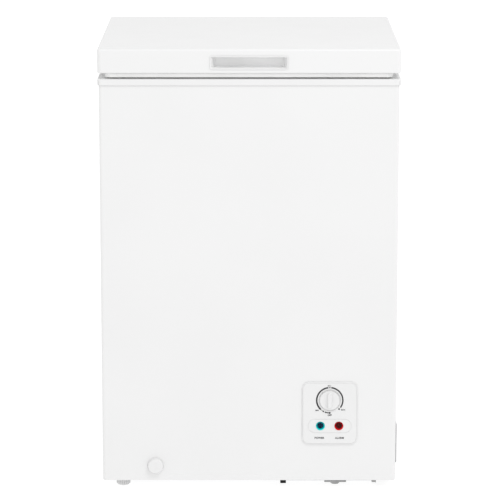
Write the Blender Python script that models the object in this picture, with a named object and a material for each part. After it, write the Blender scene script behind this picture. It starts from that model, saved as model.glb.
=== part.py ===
"""Compact chest freezer, built piece by piece as it is assembled.

Metres, +Z up, front towards -Y. The origin is on the floor, at the centre of the
overall width and of the overall depth, control knob and hinges included."""

import math

import bmesh
import bpy
from mathutils import Matrix, Vector

# Overall sizes
WIDTH = 0.563
DEPTH = 0.515
HEIGHT = 0.850
OVERHANG = 0.0025
LID_HEIGHT = 0.045
SEAL_GAP = 0.0116
FOOT_HEIGHT = 0.015

# Clearances and sheet
GAP = 0.0003
FIT = 0.0005
SHEET = 0.001
REACH = 0.02

# Cabinet
FRONT_RADIUS = 0.006
SHELL_FLANGE = 0.012
COLLAR_HEIGHT = 0.012
COLLAR_WEB = 0.004
COLLAR_LIP = 0.0015
COLLAR_LIP_DROP = 0.013
WALL = 0.055
RAIL = 0.008
RAIL_DROP = 0.045
LINER_SHEET = 0.001
LINER_RADIUS = 0.025
LINER_FLANGE = 0.012
STEP_WALL = 0.045
PANEL_INSET = 0.012

# Compressor bay
BAY_WIDTH = 0.2195
BAY_TOP = 0.245
PIPE_JOIN_DROP = 0.008

# Lid
LID_SHEET = 0.0012
LID_RADIUS = 0.008
LID_SOFT = 0.004
LID_FLANGE = 0.008
LID_LINER_SHEET = 0.0015
LID_RING = 0.006
PLUG_DROP = 0.010
PLUG_CLEAR = 0.012
GASKET_INSET = 0.014
GASKET_WIDTH = 0.018
GASKET_BACK = 0.012
DART_WIDTH = 0.0034
DART_DEPTH = 0.0033

# Handle
HANDLE_WIDTH = 0.148
HANDLE_TALL = 0.027
HANDLE_RIM = 0.003
HANDLE_RADIUS = 0.004
HANDLE_DROP = 0.0254
HANDLE_DEPTH = 0.020
HANDLE_PROUD = 0.001
CUP_WALL = 0.0015
CUP_SLOPE = 0.007

# Hinges
HINGE_SIDE = 0.0915
HINGE_PIVOT_OUT = 0.010
HINGE_PIVOT_RISE = 0.0066
HINGE_EAR_RADIUS = 0.007
HINGE_HALF_WIDTH = 0.025
HINGE_SHEET = 0.002
HINGE_EAR = 0.0035
HINGE_PLATE_DROP = 0.075
PIN_RADIUS = 0.0025
PIN_HEAD = 0.0045
SPRING_RADIUS = 0.0048
SPRING_WIRE = 0.0006
SPRING_TURNS = 5

# Control panel
PANEL_SIDE = 0.1272
PANEL_Z = 0.1488
PANEL_WIDTH = 0.1055
PANEL_TALL = 0.123
PANEL_RADIUS = 0.0134
PANEL_THICK = 0.0025
CONTROL_BOX_DEPTH = 0.042
CONTROL_BOX_WALL = 0.0015
CONTROL_BOX_LAP = 0.003
CONTROL_WIRE_SIDE = 0.020
CONTROL_WIRE_DROP = 0.035
CONTROL_WIRE_START = 0.030
THERMOSTAT_HALF_WIDTH = 0.020
THERMOSTAT_HALF_TALL = 0.018
THERMOSTAT_INSET = 0.006
THERMOSTAT_DEPTH = 0.026
THERMOSTAT_FLOOR = 0.002
SENSOR_RISE = 0.008
SENSOR_HOLE = 0.003
SENSOR_RUN = 0.038
SENSOR_BEND = 0.014
DIAL_RISE = 0.0259
KNOB_RADIUS = 0.0206
KNOB_DISC = 0.004
KNOB_OUT = 0.0125
KNOB_RIDGE = 0.0105
SHAFT_RADIUS = 0.003
SHAFT_SHORT = 0.004
SHAFT_BORE_DEPTH = 0.008
BUSH_RADIUS = 0.005
LAMP_SPREAD = 0.0177
LAMP_DROP = 0.0249
LAMP_RADIUS = 0.0084
LAMP_PROUD = 0.0012
LAMP_LENGTH = 0.012
LAMP_DOME = 0.0016
LAMP_WALL = 0.004
LAMP_FLOOR = 0.002

# Drain
DRAIN_SIDE = 0.1015
DRAIN_Z = 0.0445
DRAIN_INSET = 0.035
DRAIN_TUBE_RADIUS = 0.0096
DRAIN_BORE = 0.0080
DRAIN_SLACK = 0.002
DRAIN_SLEEVE_RADIUS = 0.0072
DRAIN_SLEEVE_WALL = 0.0015
DRAIN_DIAL_RADIUS = 0.0152
DRAIN_FACE_RADIUS = 0.0134
DRAIN_DIAL_THICK = 0.0065
DRAIN_BEND = 0.014
ESCUTCHEON_THICK = 0.0012
ESCUTCHEON_RIM = 0.0008

# Feet
FOOT_SIDE = 0.0385
FOOT_INSET = 0.026
FOOT_RADIUS = 0.0134
STUD_RADIUS = 0.004
STUD_LENGTH = 0.028
RIGHT_FOOT_SIDE = 0.1155
RIGHT_FOOT_RADIUS = 0.0095
RIGHT_FOOT_FLANGE = 0.021

# Refrigeration
CONDENSER_RADIUS = 0.0024
CONDENSER_PASSES = 6
EVAPORATOR_RADIUS = 0.003
EVAPORATOR_TURNS = 6
COIL_AIR = 0.004
COIL_SLACK = 0.0014
COIL_RISE = 0.040
COIL_TOP_DROP = 0.0584
COIL_MARGIN = 0.022
COIL_BEND = 0.012
CHASE_SIDE = 0.1435
CHASE_WIDTH = 0.060
CAPILLARY_RADIUS = 0.001
CAPILLARY_SIDE = 0.008
CAPILLARY_BACK = 0.020
CAPILLARY_BEND = 0.010
COIL_TAIL = 0.020
PLATE_SHEET = 0.0012
PLATE_LIP = 0.005
PLATE_LEFT_CLEAR = 0.004
PLATE_RIGHT_CLEAR = 0.037
PLATE_INSET = 0.004
COMPRESSOR_SIDE = 0.1135
COMPRESSOR_BACK = 0.125
COMPRESSOR_RADIUS = 0.052
COMPRESSOR_STRETCH = 1.35
COMPRESSOR_TALL = 0.150
COMPRESSOR_FOOT = 0.003
COMPRESSOR_FOOT_CORNER = 0.010
COMPRESSOR_SEAM = 1.03
COMPRESSOR_SEAM_HEIGHT = 0.46
COMPRESSOR_SEAM_TALL = 0.004
STUB_LENGTH = 0.030
STUB_SINK = 0.014
SUCTION_STUB_RADIUS = 0.005
SUCTION_STUB_BACK = 0.012
SUCTION_STUB_RISE = 0.085
DISCHARGE_STUB_RADIUS = 0.004
DISCHARGE_STUB_FRONT = 0.022
DISCHARGE_STUB_RISE = 0.052
SUCTION_RUN = 0.012
SUCTION_BACK = 0.030
SUCTION_RISE = 0.020
SUCTION_TOP_RISE = 0.050
SUCTION_BEND = 0.014
DISCHARGE_RUN = 0.010
DISCHARGE_DIP = 0.020
DISCHARGE_RISE = 0.010
DISCHARGE_TOP_RISE = 0.040
DISCHARGE_BEND = 0.012
GROMMET_X = 0.052
GROMMET_Y = 0.072
GROMMET_TALL = 0.013
GROMMET_RADIUS = 0.010
GROMMET_BORE = 0.004
GROMMET_GROOVE = ((0.004, 1.0), (0.0065, 0.75), (0.009, 1.0))
TERMINAL_HALF_WIDTH = 0.024
TERMINAL_DEPTH = 0.034
TERMINAL_CLEAR = 0.001
TERMINAL_LOW = 0.040
TERMINAL_HIGH = 0.102
TERMINAL_WALL = 0.002
TERMINAL_CORNER = 0.006
TERMINAL_WIRE_SIDE = 0.008
TERMINAL_WIRE_FRONT = 0.004
TERMINAL_WIRE_BACK = 0.006
WIRING_RADIUS = 0.0025
MAINS_BEND = 0.015
CONTROL_BEND = 0.020
DRIER_RADIUS = 0.008
DRIER_LENGTH = 0.095
DRIER_NECK = 0.006
DRIER_SHOULDER = 0.014
DRIER_NECK_WALL = 0.001

# Vents
VENT_FRONT = 0.020
VENT_DEPTH = 0.080
VENT_LOW = 0.044
VENT_HIGH = 0.121
VENT_PROUD = 0.0032
VENT_TOP_SLOPE = 0.040
VENT_TOP_PROUD = 0.0012
VENT_PLUG = 0.004
VENT_SLOT_INSET = 0.004
VENT_SLOTS = 5
SLOT_SHARE = 0.5
COVER_LAP = 0.007
COVER_CORNER = 0.004
COVER_SLOTS = 9
COVER_SLOT_INSET = 0.012
COVER_SLOT_LOW = 0.050
COVER_SLOT_HIGH = 0.010
COVER_SLOT_SHARE = 0.44
GLAND_SIDE = 0.1815
GLAND_Z = 0.060
GLAND_RADIUS = 0.008
GLAND_BORE = 0.004
GLAND_RIM = 0.003
GLAND_DEPTH = 0.006
GLAND_NOSE = 0.008

# Basket
BASKET_WIDTH = 0.200
BASKET_TALL = 0.180
BASKET_WALL = 0.003
BASKET_CLEAR = 0.006
BASKET_REST = 0.1115

# Worked out from the sizes above
HINGE_PROUD = HINGE_PIVOT_OUT + HINGE_EAR_RADIUS
FRONT = KNOB_OUT - (KNOB_OUT + DEPTH + HINGE_PROUD) / 2
BACK = FRONT + DEPTH
HALF_W = WIDTH / 2
LID_HALF_W = HALF_W + OVERHANG
LID_FRONT = FRONT - OVERHANG
LID_BOTTOM = HEIGHT - LID_HEIGHT
COLLAR_TOP = LID_BOTTOM - SEAL_GAP
SHELL_TOP = COLLAR_TOP - COLLAR_WEB - GAP
INNER_W = HALF_W - SHEET - GAP
INNER_FRONT = FRONT + SHEET + GAP
PANEL_OUT = BACK - SHEET - GAP
PANEL_IN = PANEL_OUT - SHEET
FLOOR_PANEL = FOOT_HEIGHT + SHEET + GAP
CAVITY_W = HALF_W - WALL
CAVITY_FRONT = FRONT + WALL
CAVITY_BACK = BACK - WALL
CAVITY_FLOOR = FOOT_HEIGHT + WALL
BAY_LEFT = HALF_W - BAY_WIDTH
STEP_X = BAY_LEFT - STEP_WALL
STEP_Z = BAY_TOP + STEP_WALL
RAIL_Z = COLLAR_TOP - RAIL_DROP
COIL_LOW = STEP_Z + COIL_RISE
COIL_HIGH = RAIL_Z - COIL_TOP_DROP
PLATE_TOP = FOOT_HEIGHT - GAP
PIVOT_Y = BACK + HINGE_PIVOT_OUT
PIVOT_Z = COLLAR_TOP + HINGE_PIVOT_RISE
HANDLE_Z = HEIGHT - HANDLE_DROP
HINGE_X = HALF_W - HINGE_SIDE
PANEL_X = HALF_W - PANEL_SIDE
DRAIN_X = DRAIN_SIDE - HALF_W
FOOT_X = FOOT_SIDE - HALF_W
RIGHT_FOOT_X = HALF_W - RIGHT_FOOT_SIDE
COMPRESSOR_X = HALF_W - COMPRESSOR_SIDE
GLAND_X = HALF_W - GLAND_SIDE
BASKET_REST_X = BASKET_REST - CAVITY_W
DIAL_Z = PANEL_Z + DIAL_RISE
LAMP_Z = PANEL_Z - LAMP_DROP
PANEL_FACE = FRONT - GAP - PANEL_THICK
DRAIN_Y = CAVITY_FRONT + DRAIN_INSET
CONDENSER_X = INNER_W - CONDENSER_RADIUS - GAP
CONDENSER_BACK = BACK - 0.060
RETURN_Y = CONDENSER_BACK + 0.017
COIL_END_X = INNER_W - DRIER_RADIUS - 0.004
COIL_END_Z = BAY_TOP - 0.020
COIL_POCKET = 2 * EVAPORATOR_RADIUS + COIL_AIR
EVAPORATOR_OUT = LINER_SHEET + COIL_SLACK + EVAPORATOR_RADIUS
CHASE_LEFT = HALF_W - CHASE_SIDE
CHASE_X = CHASE_LEFT + CHASE_WIDTH / 2
RISER_X = CHASE_X - 0.012
RISER_Y = CAVITY_BACK + EVAPORATOR_OUT + 4 * EVAPORATOR_RADIUS


# Materials

def material(name, colour, roughness, metallic=0.0):
    made = bpy.data.materials.new(name)
    made.use_nodes = True
    shader = made.node_tree.nodes["Principled BSDF"]
    shader.inputs["Base Color"].default_value = (*colour, 1.0)
    shader.inputs["Roughness"].default_value = roughness
    shader.inputs["Metallic"].default_value = metallic
    return made


# Building blocks

def rounded(x0, x1, y0, y1, low_radius, high_radius=None, steps=4):
    """A rectangle with round corners, anticlockwise: low_radius at y0, high_radius at y1."""
    high_radius = low_radius if high_radius is None else high_radius
    corners = [
        (x1 - low_radius, y0 + low_radius, low_radius, -90),
        (x1 - high_radius, y1 - high_radius, high_radius, 0),
        (x0 + high_radius, y1 - high_radius, high_radius, 90),
        (x0 + low_radius, y0 + low_radius, low_radius, 180),
    ]
    points = []
    for cx, cy, radius, start in corners:
        count = steps if radius > 0 else 0
        for i in range(count + 1):
            angle = math.radians(start + (90 * i / count if count else 45))
            points.append((cx + radius * math.cos(angle), cy + radius * math.sin(angle)))
    return points


def circle(cx, cy, radius, steps=20):
    turn = [2 * math.pi * i / steps for i in range(steps)]
    return [(cx + radius * math.cos(a), cy + radius * math.sin(a)) for a in turn]


def at(axis, a, b, along):
    """A point from two coordinates across an axis and one along it."""
    return {"X": (along, a, b), "Y": (a, along, b), "Z": (a, b, along)}[axis]


def add_object(name, mesh_data, look=None):
    made = bpy.data.objects.new(name, mesh_data)
    bpy.context.scene.collection.objects.link(made)
    if look:
        mesh_data.materials.append(look)
    return made


def finish_mesh(name, bm, look=None):
    bmesh.ops.recalc_face_normals(bm, faces=bm.faces)
    mesh = bpy.data.meshes.new(name)
    bm.to_mesh(mesh)
    bm.free()
    mesh.shade_smooth()
    mesh.set_sharp_from_angle(angle=math.radians(35))
    return add_object(name, mesh, look)


def prism(name, outline, low, high, look=None, axis="Z", far_outline=None, soft=0.0):
    """An outline extruded along an axis. far_outline is its shape at the far end, which
    soft rounds."""
    bm = bmesh.new()
    near = [bm.verts.new(at(axis, a, b, low)) for a, b in outline]
    face = bm.faces.new(near)
    grown = bmesh.ops.extrude_face_region(bm, geom=[face])["geom"]
    far = [item for item in grown if isinstance(item, bmesh.types.BMVert)]
    bmesh.ops.translate(bm, verts=far, vec=at(axis, 0, 0, high - low))
    if far_outline:
        shape_far_end(far, outline, far_outline, axis, high)
    if soft:
        kept = set(far)
        rim = [edge for edge in bm.edges if all(vert in kept for vert in edge.verts)]
        bmesh.ops.bevel(bm, geom=rim, offset=soft, segments=3, profile=0.5, affect="EDGES")
    return finish_mesh(name, bm, look)


def shape_far_end(far, outline, far_outline, axis, high):
    moves = {}
    for near, away in zip(outline, far_outline):
        moves[tuple(round(value, 6) for value in near)] = away
    across = {"X": (1, 2), "Y": (0, 2), "Z": (0, 1)}[axis]
    for vert in far:
        key = tuple(round(vert.co[i], 6) for i in across)
        nearest = min(moves, key=lambda near: math.dist(near, key))
        vert.co = at(axis, *moves[nearest], high)


def box(name, x0, x1, y0, y1, z0, z1, look=None):
    return prism(name, [(x0, y0), (x1, y0), (x1, y1), (x0, y1)], z0, z1, look)


def turned(name, profile, centre, axis="Z", look=None, steps=20):
    """A profile of (radius, height) points turned about an axis through centre."""
    bm = bmesh.new()
    verts = [bm.verts.new((radius, 0.0, height)) for radius, height in profile]
    edges = [bm.edges.new(pair) for pair in zip(verts, verts[1:])]
    if profile[0][0] > 0:
        edges.append(bm.edges.new((verts[-1], verts[0])))
    bmesh.ops.spin(
        bm, geom=verts + edges, cent=(0, 0, 0), axis=(0, 0, 1), angle=2 * math.pi,
        steps=steps, use_merge=True)
    bmesh.ops.remove_doubles(bm, verts=bm.verts, dist=1e-6)
    turn = {
        "X": Matrix.Rotation(math.pi / 2, 4, "Y"),
        "Y": Matrix.Rotation(-math.pi / 2, 4, "X"),
        "Z": Matrix.Identity(4),
    }[axis]
    bmesh.ops.transform(bm, matrix=Matrix.Translation(centre) @ turn, verts=bm.verts)
    return finish_mesh(name, bm, look)


def bent_route(points, bend, steps=3):
    """A polyline whose inner corners are arcs, as a tube bender makes them."""
    points = [Vector(point) for point in points]
    route = [points[0]]
    for before, corner, after in zip(points, points[1:], points[2:]):
        reach = min(bend, (before - corner).length / 2, (after - corner).length / 2)
        back = (before - corner).normalized()
        onward = (after - corner).normalized()
        half = back.angle(onward) / 2
        if half > math.radians(88):
            route.append(corner)
            continue
        centre = corner + (back + onward).normalized() * (reach / math.cos(half))
        first = corner + back * reach - centre
        last = corner + onward * reach - centre
        for i in range(steps + 1):
            spoke = first.normalized().slerp(last.normalized(), i / steps)
            route.append(centre + spoke * first.length)
    route.append(points[-1])
    return route


def tube(name, route, radius, look=None, sides=6):
    curve = bpy.data.curves.new(name, "CURVE")
    curve.dimensions = "3D"
    curve.bevel_depth = radius
    curve.bevel_resolution = sides // 2 - 2
    curve.use_fill_caps = True
    spline = curve.splines.new("POLY")
    spline.points.add(len(route) - 1)
    for point, place in zip(spline.points, route):
        point.co = (*place, 1.0)
    return add_object(name, curve, look)


def tube_mesh(name, route, radius, look=None, sides=12):
    """A tube as a mesh, which a Boolean can use."""
    guide = tube(name + "_route", route, radius, sides=sides)
    mesh = bpy.data.meshes.new_from_object(guide)
    bpy.data.objects.remove(guide)
    made = add_object(name, mesh, look)
    return made


def combine(target, operation, others):
    for other in others:
        modifier = target.modifiers.new(operation.lower(), "BOOLEAN")
        modifier.operation = operation
        modifier.solver = "EXACT"
        modifier.object = other
        other.hide_render = True
        other.display_type = "WIRE"
    return target


def cut(target, *others):
    return combine(target, "DIFFERENCE", others)


def add(target, *others):
    return combine(target, "UNION", others)


def keep(target, *others):
    return combine(target, "INTERSECT", others)


def hole(name, centre, radius, length, axis, steps=16):
    """A round cutter, centred along its length."""
    x, y, z = centre
    across = {"X": (y, z, x), "Y": (x, z, y), "Z": (x, y, z)}[axis]
    outline = circle(across[0], across[1], radius, steps)
    return prism(name, outline, across[2] - length / 2, across[2] + length / 2, axis=axis)


def set_origin(obj, point):
    """Puts an object's origin on its joint's axis without moving its shape."""
    obj.data.transform(Matrix.Translation(-Vector(point)))
    obj.location = point


def ride(children, joint):
    """Parents pieces to an empty on their joint's axis, leaving them where they are."""
    for child in children:
        child.parent = joint
        child.matrix_parent_inverse = Matrix.Translation(-joint.location)


def joint_empty(name, point):
    made = bpy.data.objects.new(name, None)
    made.location = point
    bpy.context.scene.collection.objects.link(made)
    return made


# Cabinet

def shell_outline(inset):
    radius = max(FRONT_RADIUS - inset, 0.0)
    return rounded(
        inset - HALF_W, HALF_W - inset, FRONT + inset, BACK - inset, radius, 0.0)


def build_outer_shell(look):
    shell = prism("outer_shell", shell_outline(0.0), FOOT_HEIGHT, SHELL_TOP, look)
    inside = prism(
        "cut_shell_inside", shell_outline(SHEET), FOOT_HEIGHT + SHEET, SHELL_TOP + REACH)
    edge = HALF_W - SHELL_FLANGE
    under = box(
        "cut_shell_under", -edge, edge, FRONT + SHELL_FLANGE, BACK - SHELL_FLANGE,
        FOOT_HEIGHT - REACH, FOOT_HEIGHT + REACH)
    behind = box(
        "cut_shell_behind", -edge, edge, BACK - REACH, BACK + REACH,
        FOOT_HEIGHT + SHELL_FLANGE, SHELL_TOP + REACH)
    wide, tall = control_opening()
    window = box(
        "cut_shell_control", PANEL_X - wide, PANEL_X + wide, FRONT - REACH, FRONT + REACH,
        PANEL_Z - tall, PANEL_Z + tall)
    drain = hole(
        "cut_shell_drain", (DRAIN_X, FRONT, DRAIN_Z), DRAIN_BORE + FIT, 2 * REACH, "Y")
    y0, y1, z0, z1 = vent_insert()
    vent = box(
        "cut_shell_vent", HALF_W - REACH, HALF_W + REACH, y0 - GAP, y1 + GAP, z0 - GAP, z1 + GAP)
    cut(shell, inside, under, behind, window, drain, vent)


def control_opening():
    """Half the width and half the height of the shell's opening behind the control panel."""
    margin = 0.006
    return PANEL_WIDTH / 2 - margin, PANEL_TALL / 2 - margin


def vent_insert():
    margin = 0.005
    y0 = FRONT + VENT_FRONT + margin
    y1 = FRONT + VENT_FRONT + VENT_DEPTH - margin
    return y0, y1, VENT_LOW + margin, VENT_HIGH - margin


def rear_opening():
    """The compressor bay's opening in the back panel: x0, x1, z0, z1."""
    return (BAY_LEFT + 0.010, HALF_W - SHELL_FLANGE - 0.010,
            FOOT_HEIGHT + SHELL_FLANGE + 0.012, BAY_TOP - 0.018)


def build_back_panel(look):
    panel = box(
        "back_panel", -INNER_W, INNER_W, PANEL_IN, PANEL_OUT, FLOOR_PANEL, SHELL_TOP, look)
    x0, x1, z0, z1 = rear_opening()
    opening = box("cut_back_bay", x0, x1, PANEL_IN - REACH, PANEL_OUT + REACH, z0, z1)
    cut(panel, opening)


def inner_block(name, low, high):
    """The full space inside the shell, less a gap all round."""
    outline = rounded(
        -INNER_W, INNER_W, INNER_FRONT, PANEL_IN - GAP, FRONT_RADIUS - SHEET, 0.0)
    return prism(name, outline, low, high)


def build_bottom_panel(look):
    low = FLOOR_PANEL
    profile = [
        (-HALF_W, low), (BAY_LEFT, low), (BAY_LEFT, BAY_TOP), (HALF_W, BAY_TOP),
        (HALF_W, BAY_TOP + SHEET), (BAY_LEFT - SHEET, BAY_TOP + SHEET),
        (BAY_LEFT - SHEET, low + SHEET), (-HALF_W, low + SHEET),
    ]
    panel = prism("bottom_panel", profile, FRONT - REACH, BACK + REACH, look, axis="Y")
    keep(panel, inner_block("keep_bottom", 0.0, HEIGHT))
    for side, y in (("front", FRONT + FOOT_INSET), ("rear", BACK - FOOT_INSET)):
        stud = hole(
            f"cut_bottom_stud_{side}", (FOOT_X, y, low), STUD_RADIUS + GAP, 2 * REACH, "Z")
        cut(panel, stud)
    cut(panel, *bay_ceiling_openings("bottom"))


def bay_ceiling_openings(owner):
    """Where pipes and the sensor line pass up from the bay into the foam."""
    top = STEP_Z - LINER_SHEET - GAP
    chase = box(
        f"cut_{owner}_chase", CHASE_LEFT, CHASE_LEFT + CHASE_WIDTH,
        RISER_Y - 2 * EVAPORATOR_RADIUS, BACK - PANEL_INSET, BAY_TOP - REACH, top)
    notch = box(
        f"cut_{owner}_notch", COIL_END_X - 0.006, HALF_W + REACH,
        CONDENSER_BACK - 0.008, RETURN_Y + 0.008, BAY_TOP - REACH, COIL_LOW)
    x, y = sensor_place()
    sensor = hole(
        f"cut_{owner}_sensor", (x, y, BAY_TOP), SHAFT_RADIUS, 2 * (top - BAY_TOP) + REACH, "Z", 8)
    return chase, notch, sensor


def sensor_place():
    return BAY_LEFT + 0.050, FRONT + 0.100


def cavity_outline(grow, rail=0.0, right=CAVITY_W):
    return rounded(
        -CAVITY_W - grow, right + grow, CAVITY_FRONT - grow - rail, CAVITY_BACK + grow + rail,
        LINER_RADIUS + grow)


def cavity_block(name, grow, top, look=None):
    """The stepped space that holds the food, grown on every side."""
    body = prism(name, cavity_outline(grow), STEP_Z - grow, RAIL_Z + grow, look)
    well = prism(
        name + "_well", cavity_outline(grow, right=STEP_X), CAVITY_FLOOR - grow, STEP_Z + REACH)
    mouth = prism(name + "_mouth", cavity_outline(grow, RAIL), RAIL_Z - grow, top)
    return add(body, well, mouth)


def build_inner_liner(look):
    top = SHELL_TOP - GAP
    liner = cavity_block("inner_liner", LINER_SHEET, top, look)
    flange = prism(
        "liner_flange", cavity_outline(LINER_FLANGE, RAIL), top - LINER_SHEET, top)
    inside = cavity_block("cut_liner_inside", 0.0, top + REACH)
    drain = hole(
        "cut_liner_drain", (DRAIN_X, DRAIN_Y, CAVITY_FLOOR), DRAIN_BORE, 2 * REACH, "Z")
    add(liner, flange)
    cut(liner, inside, drain)


def build_insulation_foam(look):
    top = SHELL_TOP - LINER_SHEET - 2 * GAP
    low = FLOOR_PANEL + SHEET + GAP
    foam = inner_block("insulation_foam", low, top)
    foam.data.materials.append(look)
    liner = cavity_block("cut_foam_liner", LINER_SHEET + GAP, top + REACH)
    bay = box(
        "cut_foam_bay", BAY_LEFT - SHEET - GAP, HALF_W + REACH, FRONT - REACH, BACK + REACH,
        low - REACH, BAY_TOP + SHEET + GAP)
    coil_low, coil_high = COIL_LOW - COIL_MARGIN, COIL_HIGH + COIL_MARGIN
    evaporator = prism(
        "cut_foam_evaporator", cavity_outline(COIL_POCKET), coil_low, coil_high)
    skin = box(
        "cut_foam_condenser", -HALF_W, HALF_W, FRONT, RETURN_Y + COIL_POCKET, coil_low, coil_high)
    core = prism(
        "cut_foam_core",
        rounded(
            COIL_POCKET - HALF_W, HALF_W - COIL_POCKET, FRONT + COIL_POCKET, BACK + REACH,
            COIL_BEND, 0.0),
        coil_low - REACH, coil_high + REACH)
    cut(skin, core)
    chase = box(
        "cut_foam_riser", CHASE_LEFT, CHASE_LEFT + CHASE_WIDTH, CAVITY_BACK, BACK - PANEL_INSET,
        STEP_Z - REACH, coil_high)
    cut(foam, liner, bay, evaporator, skin, chase)
    cut(foam, *bay_ceiling_openings("foam"), *drain_channel(), *stud_pockets())


def drain_channel():
    side = DRAIN_TUBE_RADIUS + DRAIN_SLACK
    run = box(
        "cut_foam_drain_run", DRAIN_X - side, DRAIN_X + side, FRONT - REACH, DRAIN_Y + side,
        DRAIN_Z - side, DRAIN_Z + side)
    rise = box(
        "cut_foam_drain_rise", DRAIN_X - side, DRAIN_X + side, DRAIN_Y - side, DRAIN_Y + side,
        DRAIN_Z, CAVITY_FLOOR)
    return run, rise


def stud_pockets():
    deep = 2 * (FOOT_HEIGHT + STUD_LENGTH + 0.004)
    return [
        hole(f"cut_foam_stud_{side}", (FOOT_X, y, 0.0), STUD_RADIUS + 0.002, deep, "Z")
        for side, y in (("front", FRONT + FOOT_INSET), ("rear", BACK - FOOT_INSET))
    ]


def lid_outline(inset):
    radius = max(LID_RADIUS - inset, 0.001)
    return rounded(
        inset - LID_HALF_W, LID_HALF_W - inset, LID_FRONT + inset, BACK - inset, radius)


def build_top_collar(look):
    collar = prism(
        "top_collar", lid_outline(0.0), COLLAR_TOP - COLLAR_HEIGHT, COLLAR_TOP, look)
    pocket = prism(
        "cut_collar_pocket",
        rounded(-HALF_W - GAP, HALF_W + GAP, FRONT - GAP, BACK + REACH, FRONT_RADIUS, 0.0),
        COLLAR_TOP - COLLAR_HEIGHT - REACH, COLLAR_TOP - COLLAR_WEB)
    lip = prism(
        "collar_lip", cavity_outline(-GAP, RAIL), COLLAR_TOP - COLLAR_LIP_DROP,
        COLLAR_TOP - COLLAR_WEB / 2)
    opening = prism(
        "cut_collar_opening", cavity_outline(-GAP - COLLAR_LIP, RAIL),
        COLLAR_TOP - COLLAR_LIP_DROP - REACH, COLLAR_TOP + REACH)
    cut(collar, pocket)
    add(collar, lip)
    cut(collar, opening)


# Refrigeration

def build_condenser_coil(look):
    """A serpentine on the inside of the shell: left, front and right, pass above pass."""
    front = INNER_FRONT + CONDENSER_RADIUS + GAP
    pitch = (COIL_HIGH - COIL_LOW) / (CONDENSER_PASSES - 1)
    points = [(COIL_END_X, CONDENSER_BACK, COIL_END_Z),
              (COIL_END_X, CONDENSER_BACK, BAY_TOP + COIL_TAIL)]
    points.append((CONDENSER_X, CONDENSER_BACK, COIL_LOW - COIL_TAIL))
    side = 1
    for level in range(CONDENSER_PASSES):
        z = COIL_LOW + pitch * level
        points += [
            (side * CONDENSER_X, CONDENSER_BACK, z), (side * CONDENSER_X, front, z),
            (-side * CONDENSER_X, front, z), (-side * CONDENSER_X, CONDENSER_BACK, z)]
        side = -side
    points += [
        (CONDENSER_X, RETURN_Y, COIL_HIGH), (CONDENSER_X, RETURN_Y, COIL_LOW - COIL_TAIL),
        (COIL_END_X, RETURN_Y, BAY_TOP + COIL_TAIL), (COIL_END_X, RETURN_Y, COIL_END_Z)]
    points = [a for a, b in zip(points, points[1:] + [None]) if a != b]
    tube("condenser_coil", bent_route(points, COIL_BEND, 2), CONDENSER_RADIUS, look)


def evaporator_corners():
    """The corners of the coil's path round the liner, starting on its back, at the chase."""
    wide = CAVITY_W + EVAPORATOR_OUT
    front = CAVITY_FRONT - EVAPORATOR_OUT
    back = CAVITY_BACK + EVAPORATOR_OUT
    return [(-wide, back), (-wide, front), (wide, front), (wide, back)]


def build_evaporator_coil(look):
    """A coil wound round the liner, whose end turns out into the chase and runs down it."""
    back = CAVITY_BACK + EVAPORATOR_OUT
    pitch = (COIL_HIGH - COIL_LOW) / EVAPORATOR_TURNS
    points = [(CHASE_X, back, COIL_LOW)]
    for turn in range(EVAPORATOR_TURNS):
        for share, (x, y) in zip((0.2, 0.45, 0.7, 0.95), evaporator_corners()):
            points.append((x, y, COIL_LOW + pitch * (turn + share)))
    points += [
        (CHASE_X, back, COIL_HIGH), (RISER_X, RISER_Y, COIL_HIGH),
        (RISER_X, RISER_Y, BAY_TOP - PIPE_JOIN_DROP)]
    bend = LINER_RADIUS + EVAPORATOR_OUT
    tube("evaporator_coil", bent_route(points, bend, 3), EVAPORATOR_RADIUS, look)


def build_base_plate(look):
    left, right = BAY_LEFT + PLATE_LEFT_CLEAR, HALF_W - PLATE_RIGHT_CLEAR
    low = PLATE_TOP - PLATE_SHEET
    profile = [
        (left, PLATE_TOP), (left, low - PLATE_LIP), (left + PLATE_SHEET, low - PLATE_LIP),
        (left + PLATE_SHEET, low), (right - PLATE_SHEET, low),
        (right - PLATE_SHEET, low - PLATE_LIP), (right, low - PLATE_LIP), (right, PLATE_TOP),
    ]
    plate = prism(
        "compressor_base_plate", profile, FRONT + PLATE_INSET, BACK - PLATE_INSET, look, axis="Y")
    for side, y in right_foot_places():
        stem = hole(
            f"cut_plate_foot_{side}", (RIGHT_FOOT_X, y, low), STUD_RADIUS + GAP, 2 * REACH, "Z")
        cut(plate, stem)


def compressor_place():
    return COMPRESSOR_X, BACK - COMPRESSOR_BACK, PLATE_TOP + GROMMET_TALL + 2 * GAP


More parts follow.
